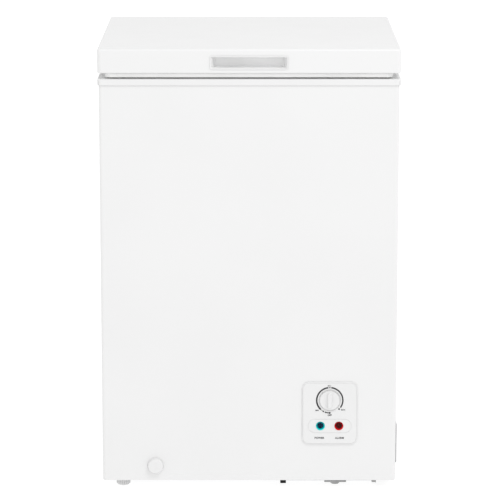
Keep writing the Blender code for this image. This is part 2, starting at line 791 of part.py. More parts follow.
def build_compressor(look):
    x, y, z = compressor_place()
    radius, tall = COMPRESSOR_RADIUS, COMPRESSOR_TALL
    seam, rim = tall * COMPRESSOR_SEAM_HEIGHT, radius * COMPRESSOR_SEAM
    profile = [
        (0.0, 0.0), (radius * 0.62, 0.002), (radius * 0.90, 0.014), (radius * 0.97, 0.035),
        (radius * 0.97, seam), (rim, seam), (rim, seam + COMPRESSOR_SEAM_TALL),
        (radius * 0.97, seam + COMPRESSOR_SEAM_TALL), (radius * 0.93, tall * 0.75),
        (radius * 0.78, tall * 0.92),
        (radius * 0.45, tall * 0.985), (0.0, tall),
    ]
    pot = turned("compressor", profile, (0.0, 0.0, 0.0), look=look, steps=20)
    pot.data.transform(Matrix.Diagonal((1.0, COMPRESSOR_STRETCH, 1.0, 1.0)))
    pot.location = (x, y, z)
    reach_x, reach_y = GROMMET_X + GROMMET_RADIUS, GROMMET_Y + GROMMET_RADIUS
    foot = prism(
        "compressor_foot",
        rounded(x - reach_x, x + reach_x, y - reach_y, y + reach_y, COMPRESSOR_FOOT_CORNER),
        z, z + COMPRESSOR_FOOT)
    suction = stub("compressor_suction", SUCTION_STUB_RADIUS, suction_stub())
    discharge = stub("compressor_discharge", DISCHARGE_STUB_RADIUS, discharge_stub())
    add(pot, foot, suction, discharge)


def stub(name, radius, place):
    profile = [(0.0, 0.0), (radius, 0.0), (radius, STUB_LENGTH), (0.0, STUB_LENGTH)]
    return turned(name, profile, place, axis="X", steps=8)


def suction_stub():
    x, y, z = compressor_place()
    return x + COMPRESSOR_RADIUS - STUB_SINK, y + SUCTION_STUB_BACK, z + SUCTION_STUB_RISE


def discharge_stub():
    x, y, z = compressor_place()
    return (x + COMPRESSOR_RADIUS - STUB_SINK, y - DISCHARGE_STUB_FRONT,
            z + DISCHARGE_STUB_RISE)


def build_grommets(look):
    x, y, _ = compressor_place()
    corners = [(-1, -1), (1, -1), (1, 1), (-1, 1)]
    groove = [(GROMMET_RADIUS * share, height) for height, share in GROMMET_GROOVE]
    profile = [(GROMMET_BORE, 0.0), (GROMMET_RADIUS, 0.0), *groove,
               (GROMMET_RADIUS, GROMMET_TALL), (GROMMET_BORE, GROMMET_TALL)]
    for number, (side_x, side_y) in enumerate(corners, start=1):
        place = (x + side_x * GROMMET_X, y + side_y * GROMMET_Y, PLATE_TOP + GAP)
        turned(f"compressor_grommet_{number}", profile, place, look=look, steps=8)


def terminal_place():
    """The terminal cover's box, on the front of the compressor: x0, x1, y0, y1, z0, z1."""
    x, y, z = compressor_place()
    face = y - COMPRESSOR_RADIUS * COMPRESSOR_STRETCH * COMPRESSOR_SEAM
    return (x - TERMINAL_HALF_WIDTH, x + TERMINAL_HALF_WIDTH, face - TERMINAL_DEPTH,
            face - TERMINAL_CLEAR, z + TERMINAL_LOW, z + TERMINAL_HIGH)


def build_terminal_cover(look):
    x0, x1, y0, y1, z0, z1 = terminal_place()
    cover = prism(
        "terminal_cover", rounded(x0, x1, y0, y1, TERMINAL_CORNER, 0.0), z0, z1, look)
    wall = TERMINAL_WALL
    inside = box(
        "cut_terminal_inside", x0 + wall, x1 - wall, y0 + wall, y1 + REACH, z0 + wall, z1 - wall)
    wires = box(
        "cut_terminal_wires", x0 + TERMINAL_WIRE_SIDE, x1 - TERMINAL_WIRE_SIDE,
        y0 + TERMINAL_WIRE_FRONT, y1 - TERMINAL_WIRE_BACK, z0 - REACH, z0 + REACH / 2)
    cut(cover, inside, wires)


def build_pipes(copper):
    sx, sy, sz = suction_stub()
    dx, dy, dz = discharge_stub()
    end = STUB_LENGTH + FIT
    out = sx + end + SUCTION_RUN
    suction = [
        (sx + end, sy, sz), (out, sy, sz), (out, sy + SUCTION_BACK, sz + SUCTION_RISE),
        (RISER_X, RISER_Y, sz + SUCTION_TOP_RISE),
        (RISER_X, RISER_Y, BAY_TOP - PIPE_JOIN_DROP - FIT)]
    tube("suction_pipe", bent_route(suction, SUCTION_BEND), EVAPORATOR_RADIUS, copper, sides=8)
    out = dx + end + DISCHARGE_RUN
    discharge = [
        (dx + end, dy, dz), (out, dy, dz), (out, dy, dz - DISCHARGE_DIP),
        (COIL_END_X, dy, dz + DISCHARGE_RISE),
        (COIL_END_X, CONDENSER_BACK, dz + DISCHARGE_TOP_RISE),
        (COIL_END_X, CONDENSER_BACK, COIL_END_Z - FIT)]
    tube("discharge_pipe", bent_route(discharge, DISCHARGE_BEND), CONDENSER_RADIUS, copper,
         sides=8)


def build_filter_drier(look):
    low = COIL_END_Z - FIT - DRIER_LENGTH
    neck = CONDENSER_RADIUS + DRIER_NECK_WALL
    profile = [
        (0.0, 0.0), (neck, 0.0), (neck, DRIER_NECK), (DRIER_RADIUS, DRIER_SHOULDER),
        (DRIER_RADIUS, DRIER_LENGTH - DRIER_SHOULDER), (neck, DRIER_LENGTH - DRIER_NECK),
        (neck, DRIER_LENGTH), (0.0, DRIER_LENGTH),
    ]
    turned("filter_drier", profile, (COIL_END_X, RETURN_Y, low), look=look, steps=16)


def build_capillary(copper):
    """From the drier's foot, back and up through the chase to the evaporator's start."""
    low = COIL_END_Z - 2 * FIT - DRIER_LENGTH
    back = CAVITY_BACK + EVAPORATOR_OUT
    x = CHASE_LEFT + CHASE_WIDTH - CAPILLARY_SIDE
    y = BACK - CAPILLARY_BACK
    foot = low - COIL_TAIL
    route = [
        (COIL_END_X, RETURN_Y, low), (COIL_END_X, RETURN_Y, foot),
        (COIL_END_X - DRIER_NECK, y, foot), (x, y, low), (x, y, COIL_LOW - COIL_TAIL),
        (x, back, COIL_LOW), (CHASE_X + FIT, back, COIL_LOW)]
    tube("capillary_tube", bent_route(route, CAPILLARY_BEND), CAPILLARY_RADIUS, copper)


# Compressor bay covers and wiring

def build_rear_cover(look):
    x0, x1, z0, z1 = rear_opening()
    lap = COVER_LAP
    y0 = PANEL_OUT + GAP
    cover = prism(
        "rear_cover", rounded(x0 - lap, x1 + lap, z0 - lap, z1 + lap, COVER_CORNER), y0,
        y0 + PLATE_SHEET, look, axis="Y")
    pitch = (z1 - z0 - COVER_SLOT_LOW - COVER_SLOT_HIGH) / COVER_SLOTS
    half = pitch * COVER_SLOT_SHARE / 2
    for row in range(COVER_SLOTS):
        z = z0 + COVER_SLOT_LOW + pitch * (row + 0.5)
        slot = box(
            f"cut_cover_slot_{row}", x0 + COVER_SLOT_INSET, x1 - COVER_SLOT_INSET,
            y0 - REACH, y0 + REACH, z - half, z + half)
        cut(cover, slot)
    cut(cover, hole("cut_cover_gland", (GLAND_X, y0, GLAND_Z), GLAND_RADIUS + GAP, 2 * REACH, "Y"))


def build_cord_gland(look):
    y0 = PANEL_OUT + GAP
    rim = GLAND_RADIUS + GLAND_RIM
    back = PLATE_SHEET + GAP
    nose = back + GLAND_NOSE
    profile = [
        (GLAND_BORE, -GLAND_DEPTH), (GLAND_RADIUS, -GLAND_DEPTH), (GLAND_RADIUS, back),
        (rim, back), (rim, back + 0.002), (0.006, nose), (GLAND_BORE, nose),
    ]
    turned("cord_gland", profile, (GLAND_X, y0, GLAND_Z), axis="Y", look=look, steps=16)


def build_side_vent(look):
    x0 = HALF_W + GAP
    y0, y1 = FRONT + VENT_FRONT, FRONT + VENT_FRONT + VENT_DEPTH
    profile = [
        (x0, VENT_LOW), (x0 + VENT_PROUD, VENT_LOW),
        (x0 + VENT_PROUD, VENT_HIGH - VENT_TOP_SLOPE), (x0 + VENT_TOP_PROUD, VENT_HIGH),
        (x0, VENT_HIGH)]
    grille = prism("side_vent_grille", profile, y0, y1, look, axis="Y")
    iy0, iy1, iz0, iz1 = vent_insert()
    add(grille, box("vent_insert", HALF_W - VENT_PLUG, x0 + 2 * GAP, iy0, iy1, iz0, iz1))
    pitch = (iz1 - iz0) / VENT_SLOTS
    half = pitch * SLOT_SHARE / 2
    for row in range(VENT_SLOTS):
        z = iz0 + pitch * (row + 0.5)
        slot = box(
            f"cut_vent_slot_{row}", HALF_W - REACH, HALF_W + REACH, iy0 + VENT_SLOT_INSET,
            iy1 - VENT_SLOT_INSET, z - half, z + half)
        cut(grille, slot)


def build_wiring(look):
    x0, x1, y0, y1, z0, _ = terminal_place()
    middle = (x0 + x1) / 2
    into = z0 + 0.006
    wall_x = BAY_LEFT + 0.012
    mains = [
        (GLAND_X, BACK + 0.004, GLAND_Z), (GLAND_X, BACK - 0.040, GLAND_Z),
        (wall_x, BACK - 0.060, GLAND_Z + 0.030), (wall_x, y0 - 0.010, z0 - 0.010),
        (middle - 0.010, y0 + 0.014, z0 - 0.026), (middle - 0.010, y0 + 0.014, into)]
    tube("mains_wiring", bent_route(mains, MAINS_BEND), WIRING_RADIUS, look, sides=8)
    control = [
        (middle + 0.008, y0 + 0.014, into), (middle + 0.008, y0 + 0.014, z0 - 0.026),
        (middle, y0 - 0.040, z0 - 0.030),
        (PANEL_X - CONTROL_WIRE_SIDE, FRONT + 0.110, PANEL_Z - 0.040),
        (PANEL_X - CONTROL_WIRE_SIDE, FRONT + CONTROL_WIRE_START, PANEL_Z - CONTROL_WIRE_DROP)]
    tube("control_wiring", bent_route(control, CONTROL_BEND), WIRING_RADIUS, look, sides=8)


# Control panel

def build_control_panel(look):
    outline = rounded(
        PANEL_X - PANEL_WIDTH / 2, PANEL_X + PANEL_WIDTH / 2, PANEL_Z - PANEL_TALL / 2,
        PANEL_Z + PANEL_TALL / 2, PANEL_RADIUS, steps=6)
    panel = prism("control_panel", outline, PANEL_FACE, PANEL_FACE + PANEL_THICK, look, axis="Y")
    cut(panel, hole(
        "cut_panel_bush", (PANEL_X, FRONT, DIAL_Z), BUSH_RADIUS + GAP, 2 * REACH, "Y"))
    for side, x in lamp_places():
        cut(panel, hole(
            f"cut_panel_lamp_{side}", (x, FRONT, LAMP_Z), LAMP_RADIUS + GAP, 2 * REACH, "Y", 24))


def lamp_places():
    return ("power", PANEL_X - LAMP_SPREAD), ("alarm", PANEL_X + LAMP_SPREAD)


def build_control_box(look):
    wide, tall = control_opening()
    lap = CONTROL_BOX_LAP
    y0 = FRONT + SHEET + GAP
    y1 = y0 + CONTROL_BOX_DEPTH
    wall = CONTROL_BOX_WALL
    case = box(
        "control_box", PANEL_X - wide - lap, PANEL_X + wide + lap, y0, y1,
        PANEL_Z - tall - lap, PANEL_Z + tall + lap, look)
    inside = box(
        "cut_control_inside", PANEL_X - wide, PANEL_X + wide, y0 - REACH, y1 - wall,
        PANEL_Z - tall, PANEL_Z + tall)
    wires = hole(
        "cut_control_wires", (PANEL_X - CONTROL_WIRE_SIDE, y1, PANEL_Z - CONTROL_WIRE_DROP),
        WIRING_RADIUS + 0.002, 2 * REACH, "Y")
    sensor = hole(
        "cut_control_sensor", (PANEL_X, y1, DIAL_Z + SENSOR_RISE), SENSOR_HOLE, 2 * REACH, "Y", 8)
    cut(case, inside, wires, sensor)


def build_thermostat(steel, plastic, white):
    x, z = PANEL_X, DIAL_Z
    bush_end = PANEL_FACE
    y0 = FRONT + THERMOSTAT_INSET
    wide, tall = THERMOSTAT_HALF_WIDTH, THERMOSTAT_HALF_TALL
    body = box(
        "thermostat_body", x - wide, x + wide, y0, y0 + THERMOSTAT_DEPTH, z - tall, z + tall,
        steel)
    bush = prism(
        "thermostat_bush", circle(x, z, BUSH_RADIUS, 16), bush_end, y0 + THERMOSTAT_FLOOR,
        axis="Y")
    bore = hole(
        "cut_thermostat_bore", (x, y0, z), SHAFT_RADIUS + GAP,
        2 * (y0 - bush_end + SHAFT_BORE_DEPTH), "Y", 12)
    add(body, bush)
    cut(body, bore)
    knob_back = PANEL_FACE - GAP
    knob_front = FRONT - KNOB_OUT
    shaft_end = knob_front + SHAFT_SHORT
    shaft = prism(
        "thermostat_shaft", circle(x, z, SHAFT_RADIUS, 12), shaft_end,
        y0 + SHAFT_BORE_DEPTH - THERMOSTAT_FLOOR, plastic, axis="Y")
    knob = prism(
        "thermostat_knob", circle(x, z, KNOB_RADIUS, 40), knob_back, knob_back - KNOB_DISC, white,
        axis="Y")
    half = KNOB_RIDGE / 2
    length = KNOB_RADIUS - 0.001
    ridge = prism(
        "knob_ridge", rounded(x - half, x + half, z - length, z + length, half * 0.6),
        knob_back - KNOB_DISC / 2, knob_front, axis="Y")
    socket = prism(
        "cut_knob_socket", circle(x, z, SHAFT_RADIUS + GAP, 12), knob_back + REACH,
        shaft_end - FIT, axis="Y")
    add(knob, ridge)
    cut(knob, socket)
    for piece in (shaft, knob):
        set_origin(piece, (x, PANEL_FACE, z))


def build_sensor_line(copper):
    x, y = sensor_place()
    start = FRONT + THERMOSTAT_INSET + THERMOSTAT_DEPTH + FIT
    top = STEP_Z - LINER_SHEET - 2 * GAP
    route = [
        (PANEL_X, start, DIAL_Z + SENSOR_RISE),
        (PANEL_X, start - FIT + SENSOR_RUN, DIAL_Z + SENSOR_RISE),
        (x, y, DIAL_Z + 0.020), (x, y, top)]
    tube("thermostat_sensor_line", bent_route(route, SENSOR_BEND), CAPILLARY_RADIUS, copper)


def build_lamps(housing_look, looks):
    y0 = FRONT + GAP
    half = LAMP_SPREAD + LAMP_RADIUS + LAMP_WALL
    tall = LAMP_RADIUS + LAMP_WALL
    housing = prism(
        "lamp_housing",
        rounded(PANEL_X - half, PANEL_X + half, LAMP_Z - tall, LAMP_Z + tall, tall * 0.95),
        y0, y0 + LAMP_LENGTH + LAMP_FLOOR, housing_look, axis="Y")
    for side, x in lamp_places():
        cut(housing, hole(
            f"cut_housing_{side}", (x, y0, LAMP_Z), LAMP_RADIUS + GAP, 2 * LAMP_LENGTH, "Y", 24))
        face = LAMP_PROUD + PANEL_THICK + 2 * GAP
        tail = LAMP_LENGTH - LAMP_FLOOR / 2
        profile = [
            (0.0, -face - LAMP_DOME / 2), (LAMP_RADIUS * 0.6, -face - LAMP_DOME / 4),
            (LAMP_RADIUS - 2 * GAP, -face + LAMP_DOME / 4),
            (LAMP_RADIUS, -face + LAMP_DOME * 0.75), (LAMP_RADIUS, tail), (0.0, tail)]
        turned(f"{side}_lamp", profile, (x, y0, LAMP_Z), axis="Y", look=looks[side], steps=20)


# Drain

def build_drain_tube(look):
    low = FRONT + SHEET + GAP
    top = CAVITY_FLOOR - LINER_SHEET - GAP
    route = [(DRAIN_X, low, DRAIN_Z), (DRAIN_X, DRAIN_Y, DRAIN_Z), (DRAIN_X, DRAIN_Y, top)]
    pipe = tube_mesh("drain_tube", bent_route(route, DRAIN_BEND), DRAIN_TUBE_RADIUS, look)
    route[0] = (DRAIN_X, low - REACH, DRAIN_Z)
    route[2] = (DRAIN_X, DRAIN_Y, top + REACH)
    bore = tube_mesh("cut_drain_bore", bent_route(route, DRAIN_BEND), DRAIN_BORE)
    cut(pipe, bore)


def build_drain_escutcheon(look):
    ring = prism(
        "drain_escutcheon", circle(DRAIN_X, DRAIN_Z, DRAIN_DIAL_RADIUS + ESCUTCHEON_RIM, 24),
        FRONT - GAP - ESCUTCHEON_THICK, FRONT - GAP, look, axis="Y")
    cut(ring, hole(
        "cut_escutcheon", (DRAIN_X, FRONT, DRAIN_Z), DRAIN_SLEEVE_RADIUS + FIT, 2 * REACH, "Y"))


def build_drain_sleeve(look):
    bore = DRAIN_SLEEVE_RADIUS - DRAIN_SLEEVE_WALL
    profile = [
        (bore, -0.0015), (DRAIN_SLEEVE_RADIUS, -0.0015), (DRAIN_SLEEVE_RADIUS, 0.042), (bore, 0.042)]
    sleeve = turned("drain_sleeve", profile, (DRAIN_X, FRONT, DRAIN_Z), axis="Y", look=look, steps=16)
    window = box(
        "cut_sleeve_window", DRAIN_X - 0.003, DRAIN_X + 0.003, FRONT + 0.004, FRONT + 0.014,
        DRAIN_Z - REACH, DRAIN_Z)
    cut(sleeve, window)
    set_origin(sleeve, (DRAIN_X, FRONT, DRAIN_Z))


def build_drain_dial(look):
    back = -GAP - ESCUTCHEON_THICK - GAP
    face = back - DRAIN_DIAL_THICK
    step = face + 0.0012
    spindle = DRAIN_SLEEVE_RADIUS - DRAIN_SLEEVE_WALL - FIT
    profile = [
        (0.0, face), (DRAIN_FACE_RADIUS, face), (DRAIN_FACE_RADIUS, step),
        (DRAIN_DIAL_RADIUS, step + 0.0006), (DRAIN_DIAL_RADIUS, back), (spindle, back),
        (spindle, 0.012), (0.0, 0.012)]
    dial = turned("drain_dial", profile, (DRAIN_X, FRONT, DRAIN_Z), axis="Y", look=look, steps=24)
    slot = box(
        "cut_dial_slot", DRAIN_X - 0.0015, DRAIN_X + 0.0015, FRONT + face - REACH,
        FRONT + face + 0.0008, DRAIN_Z - 0.008, DRAIN_Z + 0.008)
    cut(dial, slot)
    set_origin(dial, (DRAIN_X, FRONT, DRAIN_Z))


def build_liner_drain_plug(look):
    stem = DRAIN_BORE - 0.001
    profile = [
        (0.0, -0.009), (stem * 0.8, -0.009), (stem, -0.004), (stem, GAP), (0.013, GAP),
        (0.013, 0.003), (0.004, 0.004), (0.004, 0.010), (0.006, 0.012), (0.0, 0.012)]
    plug = turned(
        "liner_drain_plug", profile, (DRAIN_X, DRAIN_Y, CAVITY_FLOOR), look=look, steps=16)
    set_origin(plug, (DRAIN_X, DRAIN_Y, CAVITY_FLOOR))


# Feet

def build_levelling_feet(look):
    for side, y in (("front", FRONT + FOOT_INSET), ("rear", BACK - FOOT_INSET)):
        top = FOOT_HEIGHT - GAP
        profile = [
            (0.0, 0.0), (FOOT_RADIUS - 0.0025, 0.0), (FOOT_RADIUS - 0.0008, 0.0008),
            (FOOT_RADIUS, 0.0025), (FOOT_RADIUS, top), (STUD_RADIUS, top),
            (STUD_RADIUS, FOOT_HEIGHT + STUD_LENGTH), (0.0, FOOT_HEIGHT + STUD_LENGTH)]
        foot = turned(f"foot_{side}_left", profile, (FOOT_X, y, 0.0), look=look, steps=16)
        set_origin(foot, (FOOT_X, y, 0.0))


def right_foot_places():
    return ("front", FRONT + 0.030), ("rear", BACK - 0.030)


def build_right_feet(look):
    low = PLATE_TOP - PLATE_SHEET - GAP
    stem = STUD_RADIUS
    for side, y in right_foot_places():
        profile = [
            (0.0, 0.0), (RIGHT_FOOT_RADIUS - 0.002, 0.0), (RIGHT_FOOT_RADIUS, 0.002),
            (RIGHT_FOOT_RADIUS, low - 0.0015), (RIGHT_FOOT_FLANGE, low - 0.0015),
            (RIGHT_FOOT_FLANGE, low), (stem, low), (stem, PLATE_TOP + 0.004),
            (0.0, PLATE_TOP + 0.004)]
        turned(f"foot_{side}_right", profile, (RIGHT_FOOT_X, y, 0.0), look=look, steps=16)


# Lid

def build_lid_shell(look):
    shell = prism("lid_shell", lid_outline(0.0), LID_BOTTOM, HEIGHT, look, soft=LID_SOFT)
    inside = prism(
        "cut_lid_inside", lid_outline(LID_SHEET), LID_BOTTOM + LID_SHEET, HEIGHT - LID_SHEET,
        soft=LID_SOFT - LID_SHEET)
    under = prism(
        "cut_lid_under", lid_outline(LID_SHEET + LID_FLANGE), LID_BOTTOM - REACH,
        LID_BOTTOM + REACH)
    wide, tall = handle_cup_size(CUP_WALL + GAP)
    grip = box(
        "cut_lid_handle", -wide, wide, LID_FRONT - REACH, LID_FRONT + REACH / 2, HANDLE_Z - tall,
        HANDLE_Z + tall)
    cut(shell, inside, under, grip)
    return shell


def handle_cup_size(grow):
    """Half the width and half the height of the grip's recess, grown."""
    return HANDLE_WIDTH / 2 - HANDLE_RIM + grow, HANDLE_TALL / 2 - HANDLE_RIM + grow


def build_handle(look, cup_look):
    wide, tall = HANDLE_WIDTH / 2, HANDLE_TALL / 2
    y0 = LID_FRONT - GAP - HANDLE_PROUD
    bezel = prism(
        "handle_bezel",
        rounded(-wide, wide, HANDLE_Z - tall, HANDLE_Z + tall, HANDLE_RADIUS), y0,
        LID_FRONT - GAP, look, axis="Y")
    inner_w, inner_t = handle_cup_size(0.0)
    window = prism(
        "cut_bezel_window",
        rounded(-inner_w, inner_w, HANDLE_Z - inner_t, HANDLE_Z + inner_t, 0.002),
        y0 - REACH, LID_FRONT + REACH, axis="Y")
    cut(bezel, window)
    out_w, out_t = handle_cup_size(CUP_WALL)
    front = LID_FRONT + GAP
    deep = front + HANDLE_DEPTH
    cup = box(
        "handle_cup", -out_w, out_w, front, deep, HANDLE_Z - out_t, HANDLE_Z + out_t, cup_look)
    mouth = [(-inner_w, HANDLE_Z - inner_t), (inner_w, HANDLE_Z - inner_t),
             (inner_w, HANDLE_Z + inner_t), (-inner_w, HANDLE_Z + inner_t)]
    floor_w, floor_t = inner_w - CUP_SLOPE, inner_t - 0.002
    floor = [(-floor_w, HANDLE_Z - floor_t), (floor_w, HANDLE_Z - floor_t),
             (floor_w, HANDLE_Z + floor_t), (-floor_w, HANDLE_Z + floor_t)]
    recess = prism("cut_cup_recess", mouth, front, deep - CUP_WALL, axis="Y", far_outline=floor)
    entry = box(
        "cut_cup_entry", -inner_w, inner_w, front - REACH, front + GAP, HANDLE_Z - inner_t,
        HANDLE_Z + inner_t)
    cut(cup, recess, entry)
    return [bezel, cup]


def plug_outline(inset):
    return cavity_outline(-PLUG_CLEAR - inset, RAIL)


def gasket_outline(inset):
    return rounded(
        GASKET_INSET + inset - LID_HALF_W, LID_HALF_W - GASKET_INSET - inset,
        LID_FRONT + GASKET_INSET + inset, BACK - GASKET_BACK - inset, 0.010 - inset / 4)


def dart_inset():
    return (GASKET_WIDTH - DART_WIDTH) / 2


def build_lid_liner(look):
    ring_top = LID_BOTTOM + LID_RING
    liner = prism("lid_liner", lid_outline(LID_SHEET + LID_FLANGE + GAP), LID_BOTTOM, ring_top, look)
    rim_low = LID_BOTTOM + LID_SHEET + GAP
    rim = prism(
        "liner_rim", lid_outline(LID_SHEET + 0.002), rim_low, rim_low + LID_LINER_SHEET)
    plug_low = COLLAR_TOP - PLUG_DROP
    plug = prism("liner_plug", plug_outline(0.0), plug_low, ring_top)
    hollow = prism(
        "cut_liner_plug", plug_outline(LID_LINER_SHEET), plug_low + LID_LINER_SHEET,
        ring_top + REACH)
    add(liner, rim, plug)
    cut(liner, hollow)
    inset = dart_inset() - GAP
    channel = prism(
        "cut_liner_channel", gasket_outline(inset), LID_BOTTOM - REACH, LID_BOTTOM + DART_DEPTH + GAP)
    island = prism(
        "cut_channel_island", gasket_outline(inset + DART_WIDTH + 2 * GAP), LID_BOTTOM - 2 * REACH,
        LID_BOTTOM + REACH)
    cut(channel, island)
    cut(liner, channel)
    return liner


def build_lid_foam(look):
    inset = LID_SHEET + GAP
    foam = prism(
        "lid_foam", lid_outline(inset), LID_BOTTOM + LID_RING + GAP, HEIGHT - inset, look,
        soft=LID_SOFT - LID_SHEET)
    core = prism(
        "foam_core", plug_outline(LID_LINER_SHEET + GAP),
        COLLAR_TOP - PLUG_DROP + LID_LINER_SHEET + GAP, LID_BOTTOM + 2 * LID_RING)
    wide, tall = handle_cup_size(CUP_WALL + GAP)
    grip = box(
        "cut_foam_grip", -wide, wide, LID_FRONT - REACH, LID_FRONT + HANDLE_DEPTH + 2 * GAP,
        HANDLE_Z - tall, HANDLE_Z + tall)
    add(foam, core)
    cut(foam, grip)
    return foam


def build_lid_gasket(look):
    gasket = prism("lid_gasket", gasket_outline(0.0), COLLAR_TOP + GAP, LID_BOTTOM - GAP, look)
    dart = prism(
        "gasket_dart", gasket_outline(dart_inset()), LID_BOTTOM - 0.002, LID_BOTTOM + DART_DEPTH)
    gap_inside = prism(
        "cut_dart_inside", gasket_outline(dart_inset() + DART_WIDTH), LID_BOTTOM - GAP,
        LID_BOTTOM + REACH)
    opening = prism(
        "cut_gasket_opening", gasket_outline(GASKET_WIDTH), COLLAR_TOP - REACH,
        LID_BOTTOM + REACH)
    add(gasket, dart)
    cut(gasket, gap_inside, opening)
    return gasket


# Hinges

def hinge_ear(name, x0, x1, foot_y, foot_near, foot_far):
    """An ear of a hinge plate: the hull of its foot and of a disc round the pivot."""
    disc = circle(PIVOT_Y, PIVOT_Z, HINGE_EAR_RADIUS, 20)
    outline = hull(disc + [(foot_y, foot_near), (foot_y, foot_far)])
    return prism(name, outline, x0, x1, axis="X")


def hull(points):
    """The convex outline of some points, anticlockwise."""
    points = sorted(set(points))

    def half(ordered):
        chain = []
        for point in ordered:
            while len(chain) > 1 and turn_of(chain[-2], chain[-1], point) <= 0:
                chain.pop()
            chain.append(point)
        return chain[:-1]

    return half(points) + half(points[::-1])


def turn_of(a, b, c):
    return (b[0] - a[0]) * (c[1] - a[1]) - (b[1] - a[1]) * (c[0] - a[0])


def build_hinge(side, x, steel, spring_look):
    pivot = (x, PIVOT_Y, PIVOT_Z)
    half = HINGE_HALF_WIDTH
    bracket_y = PANEL_OUT + GAP
    top = COLLAR_TOP - COLLAR_HEIGHT - 0.002
    bracket = box(
        f"hinge_bracket_{side}", x - half, x + half, bracket_y, bracket_y + HINGE_SHEET,
        top - HINGE_PLATE_DROP, top, steel)
    arm_half = half - HINGE_EAR - FIT
    arm_low = LID_BOTTOM + 0.006
    arm = box(
        f"hinge_arm_{side}", x - arm_half, x + arm_half, BACK + GAP, BACK + GAP + HINGE_SHEET,
        arm_low, HEIGHT - LID_SOFT - 0.002, steel)
    for end, hand in (("a", -1), ("b", 1)):
        outer = sorted((x + hand * half, x + hand * (half - HINGE_EAR)))
        inner = sorted((x + hand * arm_half, x + hand * (arm_half - HINGE_EAR)))
        add(bracket, hinge_ear(
            f"bracket_ear_{side}_{end}", *outer, bracket_y + HINGE_SHEET / 2, top - 0.040, top - 0.001))
        add(arm, hinge_ear(
            f"arm_ear_{side}_{end}", *inner, BACK + GAP + HINGE_SHEET / 2, arm_low + 0.001,
            arm_low + 0.020))
    bore = hole(f"cut_hinge_bore_{side}", pivot, PIN_RADIUS + GAP, 3 * half, "X")
    cut(bracket, bore)
    cut(arm, bore)
    build_hinge_pin(side, x, steel)
    build_hinge_spring(side, x, arm_half - HINGE_EAR, spring_look)
    return arm


def build_hinge_pin(side, x, steel):
    end = HINGE_HALF_WIDTH + FIT
    profile = [
        (0.0, -end - 0.0015), (PIN_HEAD, -end - 0.0015), (PIN_HEAD, -end), (PIN_RADIUS, -end),
        (PIN_RADIUS, end), (PIN_HEAD, end), (PIN_HEAD, end + 0.0015), (0.0, end + 0.0015)]
    turned(f"hinge_pin_{side}", profile, (x, PIVOT_Y, PIVOT_Z), axis="X", look=steel, steps=12)


def build_hinge_spring(side, x, room, look):
    """A torsion spring on the pin: one leg bears on the bracket, the other end hooks the arm."""
    reach = room - 0.002
    count = 8 * SPRING_TURNS
    route = []
    for i in range(count + 1):
        turn = 2 * math.pi * (i / 8 + 0.5)
        route.append((
            x - reach + 2 * reach * i / count, PIVOT_Y + SPRING_RADIUS * math.cos(turn),
            PIVOT_Z + SPRING_RADIUS * math.sin(turn)))
    leg_end = (x - reach, PIVOT_Y - SPRING_RADIUS, PIVOT_Z - 0.026)
    tube(f"hinge_spring_{side}", [leg_end] + route, SPRING_WIRE, look, sides=4)


# Basket

def build_basket(look):
    half = BASKET_WIDTH / 2
    x = BASKET_REST_X
    y0, y1 = CAVITY_FRONT + BASKET_CLEAR, CAVITY_BACK - BASKET_CLEAR
    rest = RAIL_Z + GAP
    top = rest + BASKET_WALL
    low = top - BASKET_TALL
    radius = LINER_RADIUS + BASKET_CLEAR / 2
    outer = rounded(x - half, x + half, y0, y1, radius)
    slope = 0.008
    base = rounded(x - half + slope, x + half - slope, y0 + slope, y1 - slope, radius)
    basket = prism("basket", base, low, top, look, far_outline=outer)
    wall = BASKET_WALL
    inner_base = rounded(
        x - half + slope + wall, x + half - slope - wall, y0 + slope + wall, y1 - slope - wall,
        radius - wall)
    inner_top = rounded(x - half + wall, x + half - wall, y0 + wall, y1 - wall, radius - wall)
    inside = prism(
        "cut_basket_inside", inner_base, low + wall, top + 0.0001, far_outline=inner_top)
    hook = half - LINER_RADIUS - BASKET_CLEAR
    lap = RAIL + BASKET_CLEAR - 0.003
    hooks = box("basket_hooks", x - hook, x + hook, y0 - lap, y1 + lap, rest, top)
    add(basket, hooks)
    cut(basket, inside)
    set_origin(basket, (x, (y0 + y1) / 2, rest))


